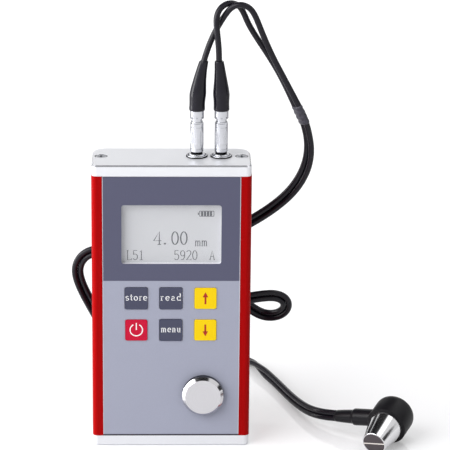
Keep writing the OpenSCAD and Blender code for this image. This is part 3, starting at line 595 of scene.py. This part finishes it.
class GAUGE_OT_leads(bpy.types.Operator):
    """Two cables from the boots to the probe and the shrink sleeve where they join"""

    bl_idname = "gauge.leads"
    bl_label = "Leads"

    def execute(self, context):
        sizes, colours = context.scene.gauge_sizes, context.scene.gauge_colours
        # Extruded soft PVC: near black, an even soft gloss and a faint grain
        jacket = finish("black_pvc_jacket", colours.jacket, 0.5, 0.10, (0.22, 0.32), 14, 3,
                        Specular_IOR_Level=0.22)
        # Shrunk polyolefin: greyer and duller than the jacket, slightly uneven
        shrink = finish("shrunk_polyolefin", colours.sleeve, 0.9, 0.45, (0.3, 0.5), 2, 90,
                        Specular_IOR_Level=0.35)
        pair = even(spline(ROUTE_PAIR), PAIR_STEP)
        ahead = tangent_rows(pair)
        side = side_rows(pair, ahead)
        probe = [frame["nodes"][n] for n in ("delay_upper", "delay_lower", "probe_barrier")]
        probe += [bpy.data.objects[n] for n in ("probe_cone", "probe_head", "strain_relief")]
        sleeve = self.sleeve(sizes, shrink, pair, side)
        for name, route, sign, cad in (("cable_left", ROUTE_A, 1, "lead_left"),
                                       ("cable_right", ROUTE_B, -1, "lead_right")):
            single = spline(route)
            beside = pair + sign * side * sizes.cable_d / 2
            join = bridge(single[-1], tangent_rows(single)[-1], beside[0], ahead[0])
            line = even(np.concatenate([single, join, beside]), CABLE_STEP)
            line = np.concatenate([line[:1] - tangent_rows(line)[:1] * IN_BOOT, line])
            along = tangent_rows(line)
            section = round_section(sizes.cable_d / 2, CABLE_SIDES)
            rings = swept(line, along, side_rows(line, along), section)
            cable = put_mesh(name, rings, ring_faces(len(line), CABLE_SIDES), jacket, sharp=60)
            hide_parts(cad, "lead_pair")
        return {"FINISHED"}

    def sleeve(self, sizes, shrink, pair, side):
        """Oval section, as wide as both cables and one wall, carried along the joint; its ends draw in
        with the square root of the distance from the end."""
        ends = np.array(SLEEVE_ENDS) * MM
        t = np.linspace(0, 1, SLEEVE_RINGS)[:, None]
        # From a little before the joint to the fourth point of the pair
        before = 0.02
        start = ends[0] + (ends[0] - ends[1]) * before
        line = start + (pair[3] - start) * t
        along = tangent_rows(line)
        sides = np.repeat(side[:1], len(line), axis=0)
        sides = unit_rows(sides - along * np.sum(sides * along, axis=1, keepdims=True))
        near_end = np.minimum(t, 1 - t)[:, 0]
        # The shrunk wall waves a little, less towards the ends
        drawn_in, calm_end, waves, wave_height = 0.06, 0.2, 23, 0.00012
        wall = sizes.sleeve_wall * np.sqrt(np.clip(near_end / drawn_in, 0.02, 1))
        wall = wall + wave_height * np.sin(t[:, 0] * waves) * np.clip(near_end / calm_end, 0, 1)
        # Powers below one make the oval fuller than an ellipse
        a = np.linspace(0, 2 * np.pi, SLEEVE_SIDES, endpoint=False)
        half_w = sizes.cable_d + wall[:, None]
        half_h = sizes.cable_d / 2 + wall[:, None]
        section = np.stack([np.sign(np.cos(a)) * np.abs(np.cos(a)) ** 0.72 * half_w,
                            np.sign(np.sin(a)) * np.abs(np.sin(a)) ** 0.86 * half_h], axis=-1)
        rings = swept(line, along, sides, section)
        sleeve = put_mesh("shrink_sleeve", rings, ring_faces(len(line), SLEEVE_SIDES), shrink)
        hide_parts("lead_joint")
        return sleeve


class GAUGE_OT_connectors(bpy.types.Operator):
    """Sockets, plugs and their boots"""

    bl_idname = "gauge.connectors"
    bl_label = "Connectors"

    def execute(self, context):
        sizes = context.scene.gauge_sizes
        # Bright nickel plate on turned brass: mirror-like with fine tool marks round it
        nickel = finish("nickel_plated_brass", "#bfc0c5", 0.25, 0.08, (0.16, 0.26), 2.5, 2.5,
                        (0.05, 0.05, 1), Metallic=1.0)
        # White fluoropolymer: milky and dull
        dress(finish("fluoropolymer", "#ecebe6", 0.6, 0.03, (0.5, 0.6)), "socket_insulators")
        # Moulded rubber: near black, soft broad highlights
        rubber = finish("moulded_rubber", "#100e19", 0.35, 0.10, (0.2, 0.28), 6, 4,
                        Specular_IOR_Level=0.26)
        # Gold plate on the contact pins
        dress(finish("gold_plate", "#d8b45a", 0.3, 0.04, (0.2, 0.3), Metallic=1.0), "socket_pins")
        # Flat rubber ring under each flange: black and dull
        dress(finish("gasket_rubber", "#09090b", 0.4, 0.1, (0.6, 0.7), Specular_IOR_Level=0.1),
              "socket_gaskets")
        dress(nickel, "socket_nuts", "plug_left_core", "plug_left_nut", "plug_right_core",
              "plug_right_nut")
        grooved = self.grooved(nickel)
        for side, lean in (("left", 3.1), ("right", -1.3)):
            self.socket(side, nickel)
            self.release_sleeve(side, grooved)
            self.boot(sizes, side, lean, rubber)
        return {"FINISHED"}

    def grooved(self, nickel):
        """The same nickel with the groove at the foot of the release sleeve painted near black, a band of
        heights: painted shade in the gap above the flange."""
        made = nickel.copy()
        made.name = "nickel_with_black_groove"
        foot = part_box("plug_left_sleeve")[0][2]
        rise, half = 0.0004, 0.00052
        # Painted shade: the foot of the sleeve is painted near black
        swapped(made, heights(made, foot + rise, half), Base_Color=solid("#121214"))
        return made

    def socket(self, side, nickel):
        """Flange with a rounded rim, a narrow groove and a coned collar, and the shank under it."""
        x, y, _ = middle("socket_" + side) / MM
        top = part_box("top_cap")[1][2] / MM
        bore = 2.6
        shank = [(bore, -8), (3.5, -8), (3.5, 0.5)]
        rim = [(4.9, 0.5), *rounded(5, 0.56, 4.72, 0.86, 6), (4.62, 0.86)]
        groove = [(4.58, 0.6), (4.3, 0.6)]
        collar = [(4.26, 1), (4.02, 1.34), *rounded(3.98, 1.38, 3.7, 1.58, 5), (bore, 1.58)]
        profile = shank + rim + groove + collar
        turned("socket_flange_" + side, profile, moved(x, y, top), nickel, ["socket_" + side], "nickel",
               closed=True)

    def release_sleeve(self, side, nickel):
        """Tube with a step at each end, two ring grooves, and fine flutes between them for the grip."""
        name = "plug_%s_sleeve" % side
        low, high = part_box(name)
        x, y, _ = middle(name) / MM
        tall = (high[2] - low[2]) / MM
        outer = (high[0] - low[0]) / 2 / MM
        # Radii of the bore, the foot, the ring grooves and the top
        bore, foot, ring, tip = 2.62, outer - 0.4, outer - 0.22, outer - 0.25
        low_end = [(bore, 0), (foot, 0), (foot, 0.9), (outer, 1.0), (outer, 2.35), (ring, 2.4),
                   (ring, 2.75), (outer, 2.8)]
        grip = [(outer, h) for h in np.linspace(3.3, tall - 3.3, 12)]
        high_end = [(outer, tall - 2.65), (ring, tall - 2.6), (ring, tall - 2.25), (outer, tall - 2.2),
                    (outer, tall - 0.7), (tip, tall - 0.55), (tip, tall), (bore, tall)]
        # The flutes run out two rings before each end of the grip
        depth = [0.0] * (len(low_end) + 2) + [0.16] * (len(grip) - 4) + [0.0] * (len(high_end) + 2)
        turned("release_sleeve_" + side, low_end + grip + high_end, moved(x, y, low[2] / MM), nickel,
               [name], "nickel", side + "_release", True, count=240, flutes=24, depth=depth)

    def boot(self, sizes, side, lean, rubber):
        """Round section whose radius follows a smooth run of values and whose centre moves sideways
        with the square of the height, towards the cable."""
        low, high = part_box("boot_" + side)
        x, y = middle("plug_%s_nut" % side)[0], middle("boot_" + side)[1]
        count = 48
        share = np.linspace(0, 1, 90)
        marks = [0, 0.012, 0.03, 0.12, 0.24, 0.31, 0.37, 0.48, 0.6, 0.8, 0.97, 0.99, 1]
        factors = [0.9, 0.94, 0.955, 0.93, 0.96, 1, 0.98, 0.9, 0.8, 0.66, 0.565, 0.55, 0.5]
        r = np.interp(share, marks, factors)
        soft = np.convolve(np.pad(r, 3, mode="edge"), np.ones(7) / 7, mode="valid")
        r = np.where((share > 0.05) & (share < 0.95), soft, r) * sizes.boot_d / 2
        line = np.stack([x + lean * MM * share ** 2, np.full(len(share), y),
                         low[2] + (high[2] - low[2]) * share], axis=1)
        upward = np.repeat([[0.0, 0.0, 1.0]], len(line), axis=0)
        across = np.repeat([[1.0, 0.0, 0.0]], len(line), axis=0)
        rings = swept(line, upward, across, r[:, None, None] * round_section(1.0, count)[None])
        piece = put_mesh("cable_boot_" + side, rings, ring_faces(len(line), count), rubber)
        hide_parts("boot_" + side)


class GAUGE_OT_case(bpy.types.Operator):
    """Extruded body, end caps, their screws and the cover on the back"""

    bl_idname = "gauge.case"
    bl_label = "Case"

    def execute(self, context):
        colours = context.scene.gauge_colours
        # Baked paint on extruded aluminium: clear red, semi-gloss, slight orange peel
        dress(finish("baked_red_paint", colours.red, 0.9, 0.05, (0.3, 0.38), 20, 5,
                     Specular_IOR_Level=0.06), "case_shell")
        # Bead-blasted anodised aluminium: pale, silky, with a fine even grain
        dress(self.anodised(colours), "top_cap", "bottom_cap")
        # Zinc-plated steel: grey, slightly mottled
        zinc = finish("zinc_plated_steel", "#a9abb1", 0.4, 0.1, (0.24, 0.36), 3, 3, Metallic=1.0)
        # Moulded ABS with a spark-eroded texture: near black, dull
        dress(finish("textured_abs", "#232327", 0.7, 0.12, (0.5, 0.6), 15, 18), "cell_cover", "cell_tray")
        dress(self.rimmed(zinc), "top_screws", "bottom_screws")
        dress(zinc, "cover_screws")
        return {"FINISHED"}

    def rimmed(self, zinc):
        """The plated screws of the caps with painted shade in the gap round each head: dark beyond a radius
        from the axes at plus and minus x."""
        made = zinc.copy()
        made.name = "zinc_with_dark_rim"
        tree = made.node_tree
        low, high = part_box("top_screws")
        head = (high[1] - low[1]) / 2
        axis = (high[0] - head, abs(low[1] + high[1]) / 2, 0)
        both_sides = vectors(tree, "ABSOLUTE", tree.nodes["Texture Coordinate"].outputs["Object"])
        flat = vectors(tree, "MULTIPLY", vectors(tree, "SUBTRACT", both_sides, axis), (1, 1, 0))
        shade_start, dark = head - 0.00055, head - 0.00035
        rim = ranged(tree, vectors(tree, "LENGTH", flat), shade_start, dark)
        # Painted shade: the gap round each screw head is painted dark grey
        swapped(made, rim, Base_Color=solid("#2a2a2e"))
        return made

    def anodised(self, colours):
        """The blasted finish of the caps. Bands of heights differ: the bevel of the top cap, polished
        smoother and painted darker as a painted dark reflection, and the face under the film's foot,
        painted near black as a painted shadow in the joint."""
        made = finish("anodised_aluminium", colours.silver, 0.3, 0.05, (0.42, 0.5), 12, 4, Metallic=0.6)
        bevel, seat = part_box("top_cap")[1][2] - 0.0004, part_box("bottom_cap")[1][2]
        # Painted dark reflection on the bevel band and painted shadow on the seat band
        for level, half, tint, rough in ((bevel, 0.00036, "#c6c7cc", 0.2), (seat, 0.0001, "#1c1c22", 0.7)):
            swapped(made, heights(made, level, half), Base_Color=solid(tint),
                    Roughness=(rough, rough, rough, 1))
        return made


def arc(cx, cz, rx, rz, start, end, count=14):
    """Points of an ellipse between two angles in degrees."""
    a = np.radians(np.linspace(start, end, count))
    return np.stack([cx + rx * np.cos(a), cz + rz * np.sin(a)], axis=1)


def chain(*runs):
    """Runs of points as one stroke."""
    return np.concatenate(runs)


# Glyphs as an advance and strokes, lists of (x, z) points in hundredths of a tall letter's height
GLYPHS = {
    "s": (56, [chain(arc(29, 46, 19, 14, 25, 265, 10), arc(29, 17, 21, 15, 85, -155, 10))]),
    "t": (50, [[(24, 86), (24, 14), (30, 3), (44, 6)], [(6, 60), (46, 60)]]),
    "o": (66, [arc(32, 31, 25, 29, 0, 360, 24)]),
    "r": (54, [[(17, 0), (17, 60)], [(4, 60), (17, 60)], [(3, 0), (33, 0)],
               [(17, 40), (25, 54), (36, 60), (49, 56)]]),
    "e": (62, [chain([(8, 33), (56, 33)], arc(32, 31, 25, 29, 10, 318, 18))]),
    "a": (62, [[(12, 47), (20, 59), (36, 60), (45, 48), (45, 8), (52, 1), (60, 4)],
               arc(27, 17, 18, 16, 0, 360, 18)]),
    "d": (70, [arc(30, 30, 23, 29, 0, 360, 22), [(40, 100), (53, 100), (53, 0), (65, 0)]]),
    "m": (98, [[(3, 60), (16, 60), (16, 0)], [(16, 42), (27, 59), (40, 59), (48, 46), (48, 0)],
               [(48, 42), (59, 59), (72, 59), (80, 46), (80, 0)],
               [(5, 0), (27, 0)], [(38, 0), (58, 0)], [(70, 0), (91, 0)]]),
    "n": (68, [[(3, 60), (16, 60), (16, 0)], [(16, 42), (27, 59), (42, 59), (50, 46), (50, 0)],
               [(5, 0), (27, 0)], [(40, 0), (61, 0)]]),
    "u": (68, [[(3, 60), (15, 60), (15, 14), (24, 2), (38, 2), (50, 16)],
               [(38, 60), (50, 60), (50, 0), (62, 0)]]),
    "0": (62, [arc(30, 50, 22, 49, 0, 360, 30)]),
    "1": (62, [[(16, 86), (31, 100), (31, 0)], [(14, 0), (48, 0)]]),
    "2": (62, [chain(arc(30, 74, 22, 26, 160, -30, 12), [(8, 0), (54, 0), (54, 12)])]),
    "4": (62, [[(43, 0), (43, 100), (4, 30), (58, 30)], [(30, 0), (56, 0)]]),
    "5": (62, [chain([(50, 100), (14, 100), (12, 55)], arc(29, 32, 23, 31, 120, -145, 16))]),
    "9": (62, [arc(30, 70, 21, 29, 0, 360, 22), [(51, 70), (48, 30), (36, 5), (14, 3)]]),
    "L": (62, [[(12, 100), (12, 0), (52, 0), (54, 14)], [(3, 100), (24, 100)]]),
    "A": (66, [[(6, 0), (31, 100), (56, 0)], [(15, 35), (47, 35)], [(0, 0), (14, 0)], [(47, 0), (63, 0)]]),
    ".": (62, [[(17, 1), (17, 13)], [(23, 1), (23, 13)]]),
}
# Stretch and gap of each key legend, and the widths of the pens, in metres
SPREADS = {"store": (0.88, 0.13), "read": (0.92, 0.22), "menu": (0.82, 0.14)}
LEGEND_PEN, SIGN_PEN, READING_PEN, SMALL_PEN = 0.00043, 0.00052, 0.00064, 0.00042
# Places from the middle of a key, in metres: foot of a legend, ends of an arrow's shaft and head with
# their widths there, and the power sign's centre, radius, arc in degrees and top
LEGEND_DROP, ARROW_ENDS = 0.001, ((-0.0029, 0.0008), (0.0006, 0.0031))
ARROW_WIDTHS = ((0.0009, 0.0009), (0.0027, 0.0001))
SIGN_LIFT, SIGN_RADIUS, SIGN_ARC, SIGN_TOP = 0.0001, 0.003, (118, 422), 0.0037
# Reading of the display: middle, foot and stretch; small characters: text, height and the same three;
# height of the segments, in metres
READING_AT = (-0.0003, 0.1026, 1.04)
SMALL_WORDS = (("mm", 0.0044, 0.0142, 0.1019, 0.72), ("L51", 0.0047, -0.0172, 0.0949, 0.98),
               ("5920", 0.0047, 0.0069, 0.0949, 1.0), ("A", 0.0047, 0.0196, 0.0949, 0.9))
SEGMENT_T = 0.00002
# Places where the film and the test block change, as ranges in metres: the film's two colours by height,
# its pale side edges, a painted highlight, by distance from the middle and its dark foot line, a painted
# shadow, by height; the block's bevel and its side, painted dark as a painted reflection and shadow, by
# radius
FILM_SPLIT, FILM_EDGE_HIGHLIGHT, FILM_FOOT_SHADOW = (0.08512, 0.08528), (0.0325, 0.0327), (0.0063, 0.006)
BLOCK_BEVEL, BLOCK_SIDE_SHADE = (0.0084, 0.0086), (0.01, 0.01004)


def word_strokes(word, height, x, z, stretch=1.0, gap=0.0):
    """Strokes of a word in metres, centred on x: each glyph scaled to a height and set after the one
    before it with some gap between them, as a share of the height."""
    found, at = [], 0.0
    for letter in word:
        advance, strokes = GLYPHS[letter]
        found += [np.array(s) / 100 + [at, 0] for s in strokes]
        at += advance / 100 + gap
    shift = (at - gap) * stretch * height / 2
    return [s * [height * stretch, height] + [x - shift, z] for s in found]


def ink(name, strokes, width, face_y, thick, material, body=ROOT, widths=None, thin=1.0):
    """Printed strokes as thin flat bars: a rectangle, as wide as the pen and as high as the ink,
    carried along each stroke on the plane y = face_y. Corners are mitred by the mean direction.
    A level stroke is thin times as wide as an upright one, as in a letter with serifs."""
    points, faces, start = [], [], 0
    corners = np.array([(1, -1), (1, 1), (-1, 1), (-1, -1)])
    for index, stroke in enumerate(strokes):
        line = np.stack([stroke[:, 0], np.full(len(stroke), face_y), stroke[:, 1]], axis=1)
        closed = len(line) > 8 and np.allclose(line[0], line[-1])
        line = line[:-1] if closed else line
        step = np.roll(line, -1, axis=0) - np.roll(line, 1, axis=0) if closed else np.gradient(line, axis=0)
        along = unit_rows(step)
        sides = np.cross(along, [[0, 1, 0]])
        pen = widths[index] if widths else width * (thin + (1 - thin) * np.abs(along[:, 2]))
        halves = np.stack([pen, np.full(len(line), thick)], axis=1) / 2
        rings = swept(line, along, sides, halves[:, None, :] * corners)
        points.append(rings.reshape(-1, 3))
        faces += ring_faces(len(line), 4, start, closed)
        start += len(line) * 4
    return put_mesh(name, np.concatenate(points), faces, material, body, 20)


class GAUGE_OT_panel(bpy.types.Operator):
    """Printed film of the front panel and the layers under it"""

    bl_idname = "gauge.panel"
    bl_label = "Front panel"

    def execute(self, context):
        colours = context.scene.gauge_colours
        dress(self.film(colours), "front_overlay")
        # Printed polyester circuit: pale and satin
        dress(finish("polyester_film", "#d8d9d2", 1.2, 0.05, (0.4, 0.5)), "keypad_circuit",
              "keypad_spacer")
        # Stamped stainless domes: bright
        dress(finish("stainless_domes", "#c9cacd", 0.3, 0.05, (0.2, 0.3), Metallic=1.0), "snap_domes")
        return {"FINISHED"}

    def film(self, colours):
        """Velvet polyester film: slate above and light grey below, split by height, a pale line at each
        side as a painted highlight and a dark line at the foot as a painted shadow, with the fine grain of
        a textured film."""
        made, tree, shader, place = blank("velvet_polyester_film")
        axis = node(tree, "ShaderNodeSeparateXYZ", {0: place}).outputs
        upper = ranged(tree, axis["Z"], *FILM_SPLIT)
        two = mixed(tree, upper, shade(colours.light, 1), shade(colours.slate, 1))
        # Painted highlight along each side edge, and painted shadow as a dark line at the foot
        edge = ranged(tree, maths(tree, "ABSOLUTE", axis["X"]), *FILM_EDGE_HIGHLIGHT, last=0.75)
        foot = ranged(tree, axis["Z"], *FILM_FOOT_SHADOW, last=0.85)
        toned = mixed(tree, foot, mixed(tree, edge, two, solid("#e2e3ea")), solid("#2c2c35"))
        # Grain of 0.1 mm is drawn at 0.35 mm so that it shows
        grain = noise(tree, place, 0.35, 2.0)
        speck = ranged(tree, grain, 0.0, 1.0, 0.94, 1.06)
        feed(shader, {"Base Color": vectors(tree, "MULTIPLY", toned, speck), "Roughness": 0.55,
                      "Normal": lifted(tree, grain, 8)})
        return made


class GAUGE_OT_keys(bpy.types.Operator):
    """Six embossed keys with their printed legends"""

    bl_idname = "gauge.keys"
    bl_label = "Keys"

    def execute(self, context):
        sizes, colours = context.scene.gauge_sizes, context.scene.gauge_colours
        # Embossed polycarbonate film, printed from behind: satin, fine grain
        prints = {}
        for look, name, rgb, tone, rough, gloss in (
                ("dark", "slate", colours.dark_key, 0.05, (0.42, 0.5), 0.3),
                ("yellow", "yellow", colours.yellow, 0.03, (0.4, 0.48), 0.2),
                ("red", "red", colours.red_key, 0.04, (0.4, 0.48), 0.2)):
            prints[look] = finish(name + "_printed_polycarbonate", rgb, 0.4, tone, rough, 9, 6,
                                  Specular_IOR_Level=gloss)
        # Screen-printed ink: flat, even and matt
        white = finish("white_screen_ink", colours.white, 0.3, 0.03, (0.45, 0.55))
        brown = finish("red_brown_screen_ink", colours.arrow, 0.3, 0.06, (0.45, 0.55))
        for name, look in (("store", "dark"), ("read", "dark"), ("menu", "dark"), ("up", "yellow"),
                           ("down", "yellow"), ("power", "red")):
            cad = "key_" + name
            dress(prints[look], cad)
            x, _, z = middle(cad)
            face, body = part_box(cad)[0][1], cad + "_body"
            if look == "dark":
                strokes = word_strokes(name, sizes.legend_h, x, z - LEGEND_DROP, *SPREADS[name])
                ink("legend_" + name, strokes, LEGEND_PEN, face, sizes.ink_t, white, body, thin=0.55)
            elif look == "yellow":
                up = 1 if name == "up" else -1
                strokes = [np.array([(x, z + up * end) for end in ends]) for ends in ARROW_ENDS]
                ink("legend_" + name, strokes, LEGEND_PEN, face, sizes.ink_t, brown, body, ARROW_WIDTHS)
            else:
                turn = arc(x, z + SIGN_LIFT, SIGN_RADIUS, SIGN_RADIUS, *SIGN_ARC, 30)
                bar = np.array([(x, z + SIGN_LIFT), (x, z + SIGN_TOP)])
                ink("legend_" + name, [turn, bar], SIGN_PEN, face, sizes.ink_t, white, body)
        return {"FINISHED"}


class GAUGE_OT_display(bpy.types.Operator):
    """Display glass with its characters, the pane, the bezel and the backlight"""

    bl_idname = "gauge.display"
    bl_label = "Display"

    def execute(self, context):
        sizes, colours = context.scene.gauge_sizes, context.scene.gauge_colours
        # Reflective twisted-nematic cell: pale grey, faintly cloudy
        dress(finish("display_cell", colours.lcd, 6, 0.03, (0.35, 0.42), 25), "lcd_glass")
        # Dark liquid crystal segments: soft grey, never black
        segments = finish("display_segments", colours.lcd_ink, 0.8, 0.05, (0.4, 0.5))
        # Moulded ABS frame, pale and dull: a light rim round the display
        dress(finish("pale_abs", "#e4e4ea", 0.5, 0.04, (0.5, 0.6), 8, 8), "display_bezel")
        # Clear acrylic: only its gloss shows
        dress(finish("clear_acrylic", "#f4f6f8", 8, 0.01, (0.04, 0.07), 30, Alpha=0.06), "display_pane")
        # Diffuser of the backlight: milky
        dress(finish("milky_diffuser", "#e6e8ea", 2, 0.02, (0.5, 0.6)), "lcd_backlight")
        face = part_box("lcd_glass")[0][1]
        strokes = word_strokes("4.00", sizes.reading_h, *READING_AT)
        ink("reading", strokes, READING_PEN, face, SEGMENT_T, segments, thin=0.5)
        small = sum((word_strokes(*word) for word in SMALL_WORDS), [])
        ink("small_characters", small, SMALL_PEN, face, SEGMENT_T, segments, thin=0.6)
        self.battery(segments, face)
        return {"FINISHED"}

    def battery(self, segments, face):
        """Outline with a nub and four bars."""
        x, z = 0.0166, 0.1181
        left, right, foot, head = x - 0.0032, x + 0.0036, z - 0.0013, z + 0.0013
        outline = np.array([(left, foot), (right, foot), (right, head), (left, head), (left, foot)])
        edges = [outline[i:i + 2] for i in range(4)]
        nub = np.array([(x - 0.0038, z - 0.0006), (x - 0.0038, z + 0.0006)])
        bars = [np.array([(x + k, z - 0.0011), (x + k, z + 0.0011)])
                for k in (-0.002, -0.0006, 0.0008, 0.0022)]
        edge_w, nub_w, bar_w = 0.0003, 0.0005, 0.0011
        widths = [(w, w) for w in [edge_w] * 4 + [nub_w] + [bar_w] * 4]
        ink("battery_sign", edges + [nub] + bars, SMALL_PEN, face, SEGMENT_T, segments, widths=widths)


class GAUGE_OT_test_block(bpy.types.Operator):
    """Round steel test block on the panel"""

    bl_idname = "gauge.test_block"
    bl_label = "Test block"

    def execute(self, context):
        # Turned and fine-ground steel: satin face with faint rings, bright bevel, and the side painted dark
        # as a painted reflection and shadow
        made, tree, shader, place = blank("ground_steel")
        low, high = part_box("test_block")
        centre = tuple(middle("test_block"))
        flat = vectors(tree, "MULTIPLY", vectors(tree, "SUBTRACT", place, centre), (1, 0, 1))
        radius = vectors(tree, "LENGTH", flat)
        # Tool marks of 0.08 mm are drawn at 0.3 mm so that they show
        rings = node(tree, "ShaderNodeTexNoise", {"W": radius, "Scale": 1000 / 0.3, "Detail": 2.0},
                     noise_dimensions="1D").outputs["Fac"]
        ground = mixed(tree, rings, solid("#c0bfc2"), solid("#d3d2d5"))
        # Painted reflection and shadow: beyond the bevel the side is painted dark grey
        tone = mixed(tree, ranged(tree, radius, *BLOCK_SIDE_SHADE), ground, solid("#2e2f35"))
        gloss = ranged(tree, radius, *BLOCK_BEVEL, 0.4, 0.1)
        feed(shader, {"Base Color": tone, "Roughness": gloss, "Metallic": 1.0,
                      "Normal": lifted(tree, rings, 4, 0.6)})
        thick = (high[1] - low[1]) / MM
        outer = (high[0] - low[0]) / 2 / MM
        seat = (moved(centre[0] / MM, high[1] / MM, centre[2] / MM)
                @ Matrix.Rotation(math.radians(90), 4, "X"))
        profile = [(outer - 0.1, 0), (outer, 0.1), (outer, thick - 1.56), (outer - 0.06, thick - 1.44),
                   (outer - 1.44, thick - 0.06), (outer - 1.56, thick)]
        turned("test_disc", profile, seat, made, ["test_block"], "steel_block", count=180, sharp=15)
        return {"FINISHED"}


class GAUGE_OT_probe(bpy.types.Operator):
    """Angle probe: steel body, moulded cap and strain relief, delay blocks and barrier"""

    bl_idname = "gauge.probe"
    bl_label = "Probe"

    def execute(self, context):
        # Polished stainless steel: mirror-like with a faint grain
        steel = finish("polished_stainless", "#cfcfd1", 0.5, 0.03, (0.1, 0.18), 4, 1, Metallic=1.0)
        # Moulded ABS, lightly grained
        moulding = finish("grained_abs", "#0f0e12", 0.6, 0.25, (0.36, 0.46), 8, 22,
                          Specular_IOR_Level=0.18)
        # Soft PVC of the strain relief
        relief = finish("moulded_pvc", "#121116", 0.5, 0.1, (0.26, 0.36), 6, 5,
                        Specular_IOR_Level=0.2)
        # Polyimide delay blocks: brown-grey, lapped
        dress(finish("lapped_polyimide", "#3c3438", 0.3, 0.1, (0.3, 0.4), 4, 2), "delay_upper",
              "delay_lower")
        # Cork sound barrier
        dress(finish("cork_sheet", "#e4ded8", 0.4, 0.15, (0.7, 0.8), 2, 20), "probe_barrier")
        # Lead zirconate crystals and tungsten-filled backing inside
        dress(finish("silvered_ceramic", "#c8c6c0", 0.5, 0.05, (0.4, 0.5), Metallic=0.5), "crystals")
        dress(finish("tungsten_filled_epoxy", "#4c4a4a", 0.3, 0.15, (0.6, 0.7)), "probe_backing")
        self.shell(steel)
        self.cap(moulding)
        self.relief(relief)
        return {"FINISHED"}

    def shell(self, steel):
        """Cone from the face to the cap with a narrow land at each end, and the neck in the cap."""
        profile = [(5.5, 0), (5.88, 0), (6, 0.12), (8.4, 14), (8.4, 14.86), (8.28, 14.98), (7.2, 14.98),
                   (7.2, 20.9), (5.5, 20.9)]
        turned("probe_cone", profile, probe_place(), steel, ["probe_shell"], "probe_steel", closed=True,
               count=180, sharp=20)

    def cap(self, moulding):
        """Cup with a pocket for the neck, a small round at its mouth and a large one at its end."""
        profile = [(7.25, 21), (7.25, 15.02), (9.7, 15.02), (9.9, 15.1), (10, 15.3), (10, 25),
                   *rounded(10, 25.05, 5, 30, 14)]
        turned("probe_head", profile, probe_place(), moulding, ["probe_cap"], "black_plastic", count=140)

    def relief(self, soft):
        """Round section along the lead's exit: thick at the cap, a step, then a thinner sleeve that
        flattens towards the pair of cables. Half-widths follow runs of values along it."""
        place = np.array(probe_place() @ moved(0, 0, EXIT_HEIGHT))
        marks = [7.7, 19.4, 19.9, 20.2, 20.5, 20.9, 26, 29.4, 29.9, 30.2]
        flat = [4.2, 4.2, 4.12, 3.8, 3.62, 3.55, 3.5, 3.44, 3.36, 3.1]
        tall = [4.2, 4.2, 4.12, 3.8, 3.62, 3.5, 3.2, 2.9, 2.8, 2.55]
        run = np.sort(np.concatenate([np.linspace(marks[0], marks[-1], 60), marks[2:]]))
        local = np.stack([np.zeros_like(run), run, np.zeros_like(run)], axis=1) * MM
        line = local @ place[:3, :3].T + place[:3, 3]
        along = np.repeat([place[:3, 1]], len(run), axis=0)
        across = unit_rows(np.cross(along, [[0.0, 0.0, 1.0]]))
        count = 56
        circle = round_section(1.0, count)
        halves = np.stack([np.interp(run, marks, flat), np.interp(run, marks, tall)], axis=1) * MM
        rings = swept(line, along, across, circle[None] * halves[:, None, :])
        piece = put_mesh("strain_relief", rings, ring_faces(len(run), count), soft, sharp=50)
        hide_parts("probe_relief")


class GAUGE_OT_works(bpy.types.Operator):
    """Board, chips, cells, springs and contacts inside the body"""

    bl_idname = "gauge.works"
    bl_label = "Inner works"

    def execute(self, context):
        # Glass-epoxy board under green solder mask: satin, slightly mottled
        dress(finish("green_solder_mask", "#1f5a3a", 0.6, 0.12, (0.3, 0.4), 10, 3), "main_board")
        # Epoxy chip package: charcoal, dull
        dress(finish("epoxy_package", "#26262a", 0.3, 0.12, (0.5, 0.6), 4, 4), "processor_chip")
        # Tinned steel can
        dress(finish("tinned_steel", "#c4c5c4", 0.4, 0.05, (0.25, 0.38), 4, 2, Metallic=1.0),
              "pulser_module")
        # Shrink label of the cells: plain dark green
        dress(finish("plain_cell_label", "#2f4a3c", 2, 0.06, (0.3, 0.4)), "cell_left", "cell_right")
        # Nickel-plated spring steel
        dress(finish("nickel_spring_steel", "#c7c7c5", 0.3, 0.05, (0.2, 0.3), Metallic=1.0),
              "cell_springs", "bridge_contact", "positive_contact", "negative_contact")
        return {"FINISHED"}


STEPS = (GAUGE_OT_stage, GAUGE_OT_probe, GAUGE_OT_leads, GAUGE_OT_connectors, GAUGE_OT_case,
         GAUGE_OT_panel, GAUGE_OT_keys, GAUGE_OT_display, GAUGE_OT_test_block, GAUGE_OT_works)
GROUPS = {"gauge_sizes": GaugeSizes, "gauge_colours": GaugeColours, "gauge_stage": GaugeStage}


class GAUGE_PT_pieces(bpy.types.Panel):
    """Lists the sizes, the colours and the steps"""

    bl_label = "Thickness gauge"
    bl_idname = "GAUGE_PT_pieces"
    bl_space_type = "VIEW_3D"
    bl_region_type = "UI"
    bl_category = "Gauge"

    def draw(self, context):
        for group in GROUPS:
            for prop in getattr(context.scene, group).bl_rna.properties:
                if prop.identifier not in ("rna_type", "name"):
                    self.layout.prop(getattr(context.scene, group), prop.identifier)
        for step in STEPS:
            self.layout.operator(step.bl_idname)


def register():
    """Registers the property groups, the operators and the panel."""
    for made in (*GROUPS.values(), *STEPS, GAUGE_PT_pieces):
        bpy.utils.register_class(made)
    for name, group in GROUPS.items():
        setattr(bpy.types.Scene, name, PointerProperty(type=group))


def unregister():
    """Takes them out again, in the other order."""
    for name in GROUPS:
        delattr(bpy.types.Scene, name)
    for made in reversed((*GROUPS.values(), *STEPS, GAUGE_PT_pieces)):
        bpy.utils.unregister_class(made)


def main():
    """Builds every piece in order."""
    register()
    for step in STEPS:
        group, name = step.bl_idname.split(".")
        getattr(getattr(bpy.ops, group), name)()


if __name__ == "__main__":
    main()
